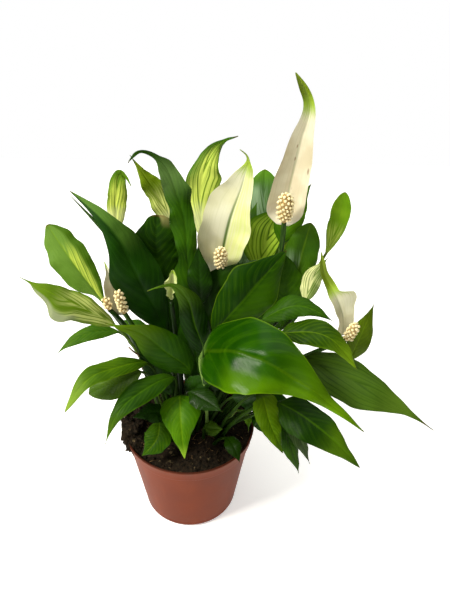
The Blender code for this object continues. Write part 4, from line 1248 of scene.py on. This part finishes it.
# The clod of soil and old roots that hangs over the rim on the left: (centre, radii).
CLODS = (
    ((-51, -8, 94), (9, 17, 8)), ((-54, 2, 102), (8, 11, 10)), ((-48, -23, 91), (8, 10, 5)),
    ((-57, 0, 110), (6, 8, 8)), ((-53, 12, 98), (8, 12, 9)), ((-53, -14, 91), (6, 9, 6)),
    ((-47, 2, 104), (8, 11, 9)),
)
CLOD_CRUMBS = 150
CRUMBS = 620
CRUMB_REACH = 56.5
FIBRES = 46
FIBRE_REACH = 54.0


def soil_spot(rng, reach):
    """A random place on the soil, no further than reach from the middle."""
    radius, turn = reach * math.sqrt(rng.random()), rng.uniform(0, 2 * math.pi)
    x, y = radius * math.cos(turn), radius * math.sin(turn)
    return Vector((x, y, soil_height(x, y)))


def build_loose_soil(soil, fibre):
    """The clod over the rim, the crumbs on the surface and bits of root and bark."""
    rng = random.Random(7)
    clod, crumbs, fibres = [], [], []
    for i, (centre, radii) in enumerate(CLODS):
        clod.append(lump(Vector(centre), radii, i * 3.7, uneven=0.5, rows=26, sides=36))
    for i in range(CLOD_CRUMBS):
        centre, radii = CLODS[i % len(CLODS)]
        way = Vector((rng.uniform(-1, 1), rng.uniform(-1, 1), rng.uniform(-0.7, 1))).normalized()
        place = Vector([c + w * radius for c, w, radius in zip(centre, way, radii)])
        size = rng.uniform(0.6, 1.9)
        clod.append(lump(place, (size, size * 1.2, size * 0.8), i * 1.3))
    for i in range(CRUMBS):
        place = soil_spot(rng, CRUMB_REACH)
        size = 0.45 + 1.6 * rng.random() ** 3
        place.z += size * 0.3
        crumbs.append(lump(place, (size * rng.uniform(0.7, 1.3), size, size * 0.8), i * 0.9))
    for i in range(FIBRES):
        place = soil_spot(rng, FIBRE_REACH)
        place.z += 0.5
        heading = rng.uniform(0, 2 * math.pi)
        along = Vector((math.cos(heading), math.sin(heading), 0)) * rng.uniform(2.0, 6.0)
        bow = Vector((-along.y, along.x, 0)) * rng.uniform(-0.3, 0.3)
        bow.z = rng.uniform(0.4, 1.6)
        path = smooth_path([place - along, place + bow, place + along])[::3]
        thick = rng.uniform(0.18, 0.4)
        fibres.append(tube(path, lambda share: thick * (1.1 - share), sides=5))
    for name, parts, material in (("clod", clod, soil), ("crumbs", crumbs, soil), ("fibres", fibres, fibre)):
        add_piece("soil_" + name, mesh_from(name, *joined(parts)), material)


def build_points(green, fibre):
    """The dry stem end on the left, the pale point by the middle and leaf_02's second tip."""
    points = (
        ("dry_twig", fibre, "soil", 8, lambda share: 0.7 - 0.3 * abs(share - 0.5),
         ((-46, -20, 199), (-43, -20, 195), (-39, -18, 189), (-37, -16, 172))),
        ("leaf_point", green, "stalk_green", 10, lambda share: 1.7 * (1.02 - share),
         ((16, -38, 178), (15, -40, 200), (15, -41, 227))),
        ("leaf_02_second_tip", green, "stalk_green", 8, lambda share: 1.9 * (1.03 - share),
         ((-62, 7, 290), (-75, 14, 301), (-89, 20, 314))),
    )
    for name, material, slot, sides, radius_at, path in points:
        mesh = mesh_from(name, *tube(smooth_path(path), radius_at, sides))
        add_piece(name, mesh, material)


# ---------------------------------------------------------------- scene

FLOOR_REACH = 0.9
LIGHTS_AIM = (0.02, -0.02, 0.22)
LIGHTS = (
    # (name, place, size, power, colour)
    ("key", (-1.0, -0.6, 1.3), 0.45, 32, (1.0, 0.96, 0.87)),
    ("top", (0.1, 0.2, 1.9), 2.0, 34, (1.0, 0.98, 0.9)),
    ("fill", (1.3, -0.9, 0.8), 1.0, 0.5, (1.0, 0.98, 0.92)),
    ("front", (-0.35, -1.5, 0.75), 1.2, 5, (1.0, 0.97, 0.89)),
)
WORLD_LIGHT = 0.05
CAMERA_PLACE = (0.031, -0.399, 0.502)
CAMERA_PITCH = 34.0
CAMERA_ROLL = 1.04
CAMERA_LENS = 36.0
WHITE = (1, 1, 1, 1)


def build_floor():
    mesh = bpy.data.meshes.new("floor")
    corners = [(x * FLOOR_REACH, y * FLOOR_REACH, 0) for x, y in ((-1, -1), (1, -1), (1, 1), (-1, 1))]
    mesh.from_pydata(corners, [], [(0, 1, 2, 3)])
    n = Nodes("floor")
    n.colour = n.mix(n.noise(n.object_place(), 3.0, 3.0), (250, 250, 250), (244, 244, 244))
    n.shader.inputs["Emission Color"].default_value = WHITE
    n.shader.inputs["Emission Strength"].default_value = 0.45
    mesh.materials.append(n.finish(0.9, 0.0))
    add_object("floor", mesh)


def build_lights():
    for name, place, size, power, colour in LIGHTS:
        data = bpy.data.lights.new(name, "AREA")
        data.shape = "RECTANGLE"
        data.size = data.size_y = size
        data.energy = power
        data.color = colour
        lamp = add_object(name, data)
        lamp.location = place
        aim = Vector(LIGHTS_AIM) - Vector(place)
        lamp.rotation_euler = aim.to_track_quat("-Z", "Y").to_euler()


def build_world():
    """White where the camera sees it, and a weak light on everything else."""
    world = bpy.data.worlds.new("studio")
    bpy.context.scene.world = world
    world.use_nodes = True
    tree = world.node_tree
    lit = tree.nodes["Background"]
    seen = tree.nodes.new("ShaderNodeBackground")
    for node, strength in ((lit, WORLD_LIGHT), (seen, 1.0)):
        node.inputs[0].default_value = WHITE
        node.inputs[1].default_value = strength
    rays = tree.nodes.new("ShaderNodeLightPath")
    mix = tree.nodes.new("ShaderNodeMixShader")
    for i, source in enumerate((rays.outputs["Is Camera Ray"], lit.outputs[0], seen.outputs[0])):
        tree.links.new(source, mix.inputs[i])
    tree.links.new(mix.outputs[0], tree.nodes["World Output"].inputs[0])


def build_camera():
    """The camera looks down from in front of the plant, a little rolled."""
    data = bpy.data.cameras.new("camera")
    data.sensor_width = 36.0
    data.lens = CAMERA_LENS
    data.clip_start = 0.01
    camera = add_object("camera", data)
    pitch = Matrix.Rotation(math.radians(90 - CAMERA_PITCH), 4, "X")
    roll = Matrix.Rotation(math.radians(CAMERA_ROLL), 4, "Z")
    camera.matrix_world = Matrix.Translation(CAMERA_PLACE) @ pitch @ roll
    bpy.context.scene.camera = camera


def main():
    build_camera()
    build_lights()
    build_world()
    build_floor()
    build_pot()
    soil, fibre = soil_material(), fibre_material()
    build_soil(soil)
    build_loose_soil(soil, fibre)
    for blade in (*LEAVES, *INNER_LEAVES):
        build_leaf(blade)
    stalks = {
        "stalk_green": stalk_material("stalk_green", (22, 48, 6), (48, 78, 16)),
        # The second stalk material is the same one painted darker: painted shade, for flower_d's stalk.
        "stalk_shaded": stalk_material("stalk_shaded", (10, 26, 2), (22, 44, 7)),
    }
    build_points(stalks["stalk_green"], fibre)
    spadix = spadix_material()
    for flower in FLOWERS:
        build_stalk(flower, stalks[flower.stalk])
        if flower.hood:
            build_spathe(flower)
        if flower.tip:
            build_spadix(flower, spadix)
    bpy.context.scene.view_settings.view_transform = "Standard"


main()
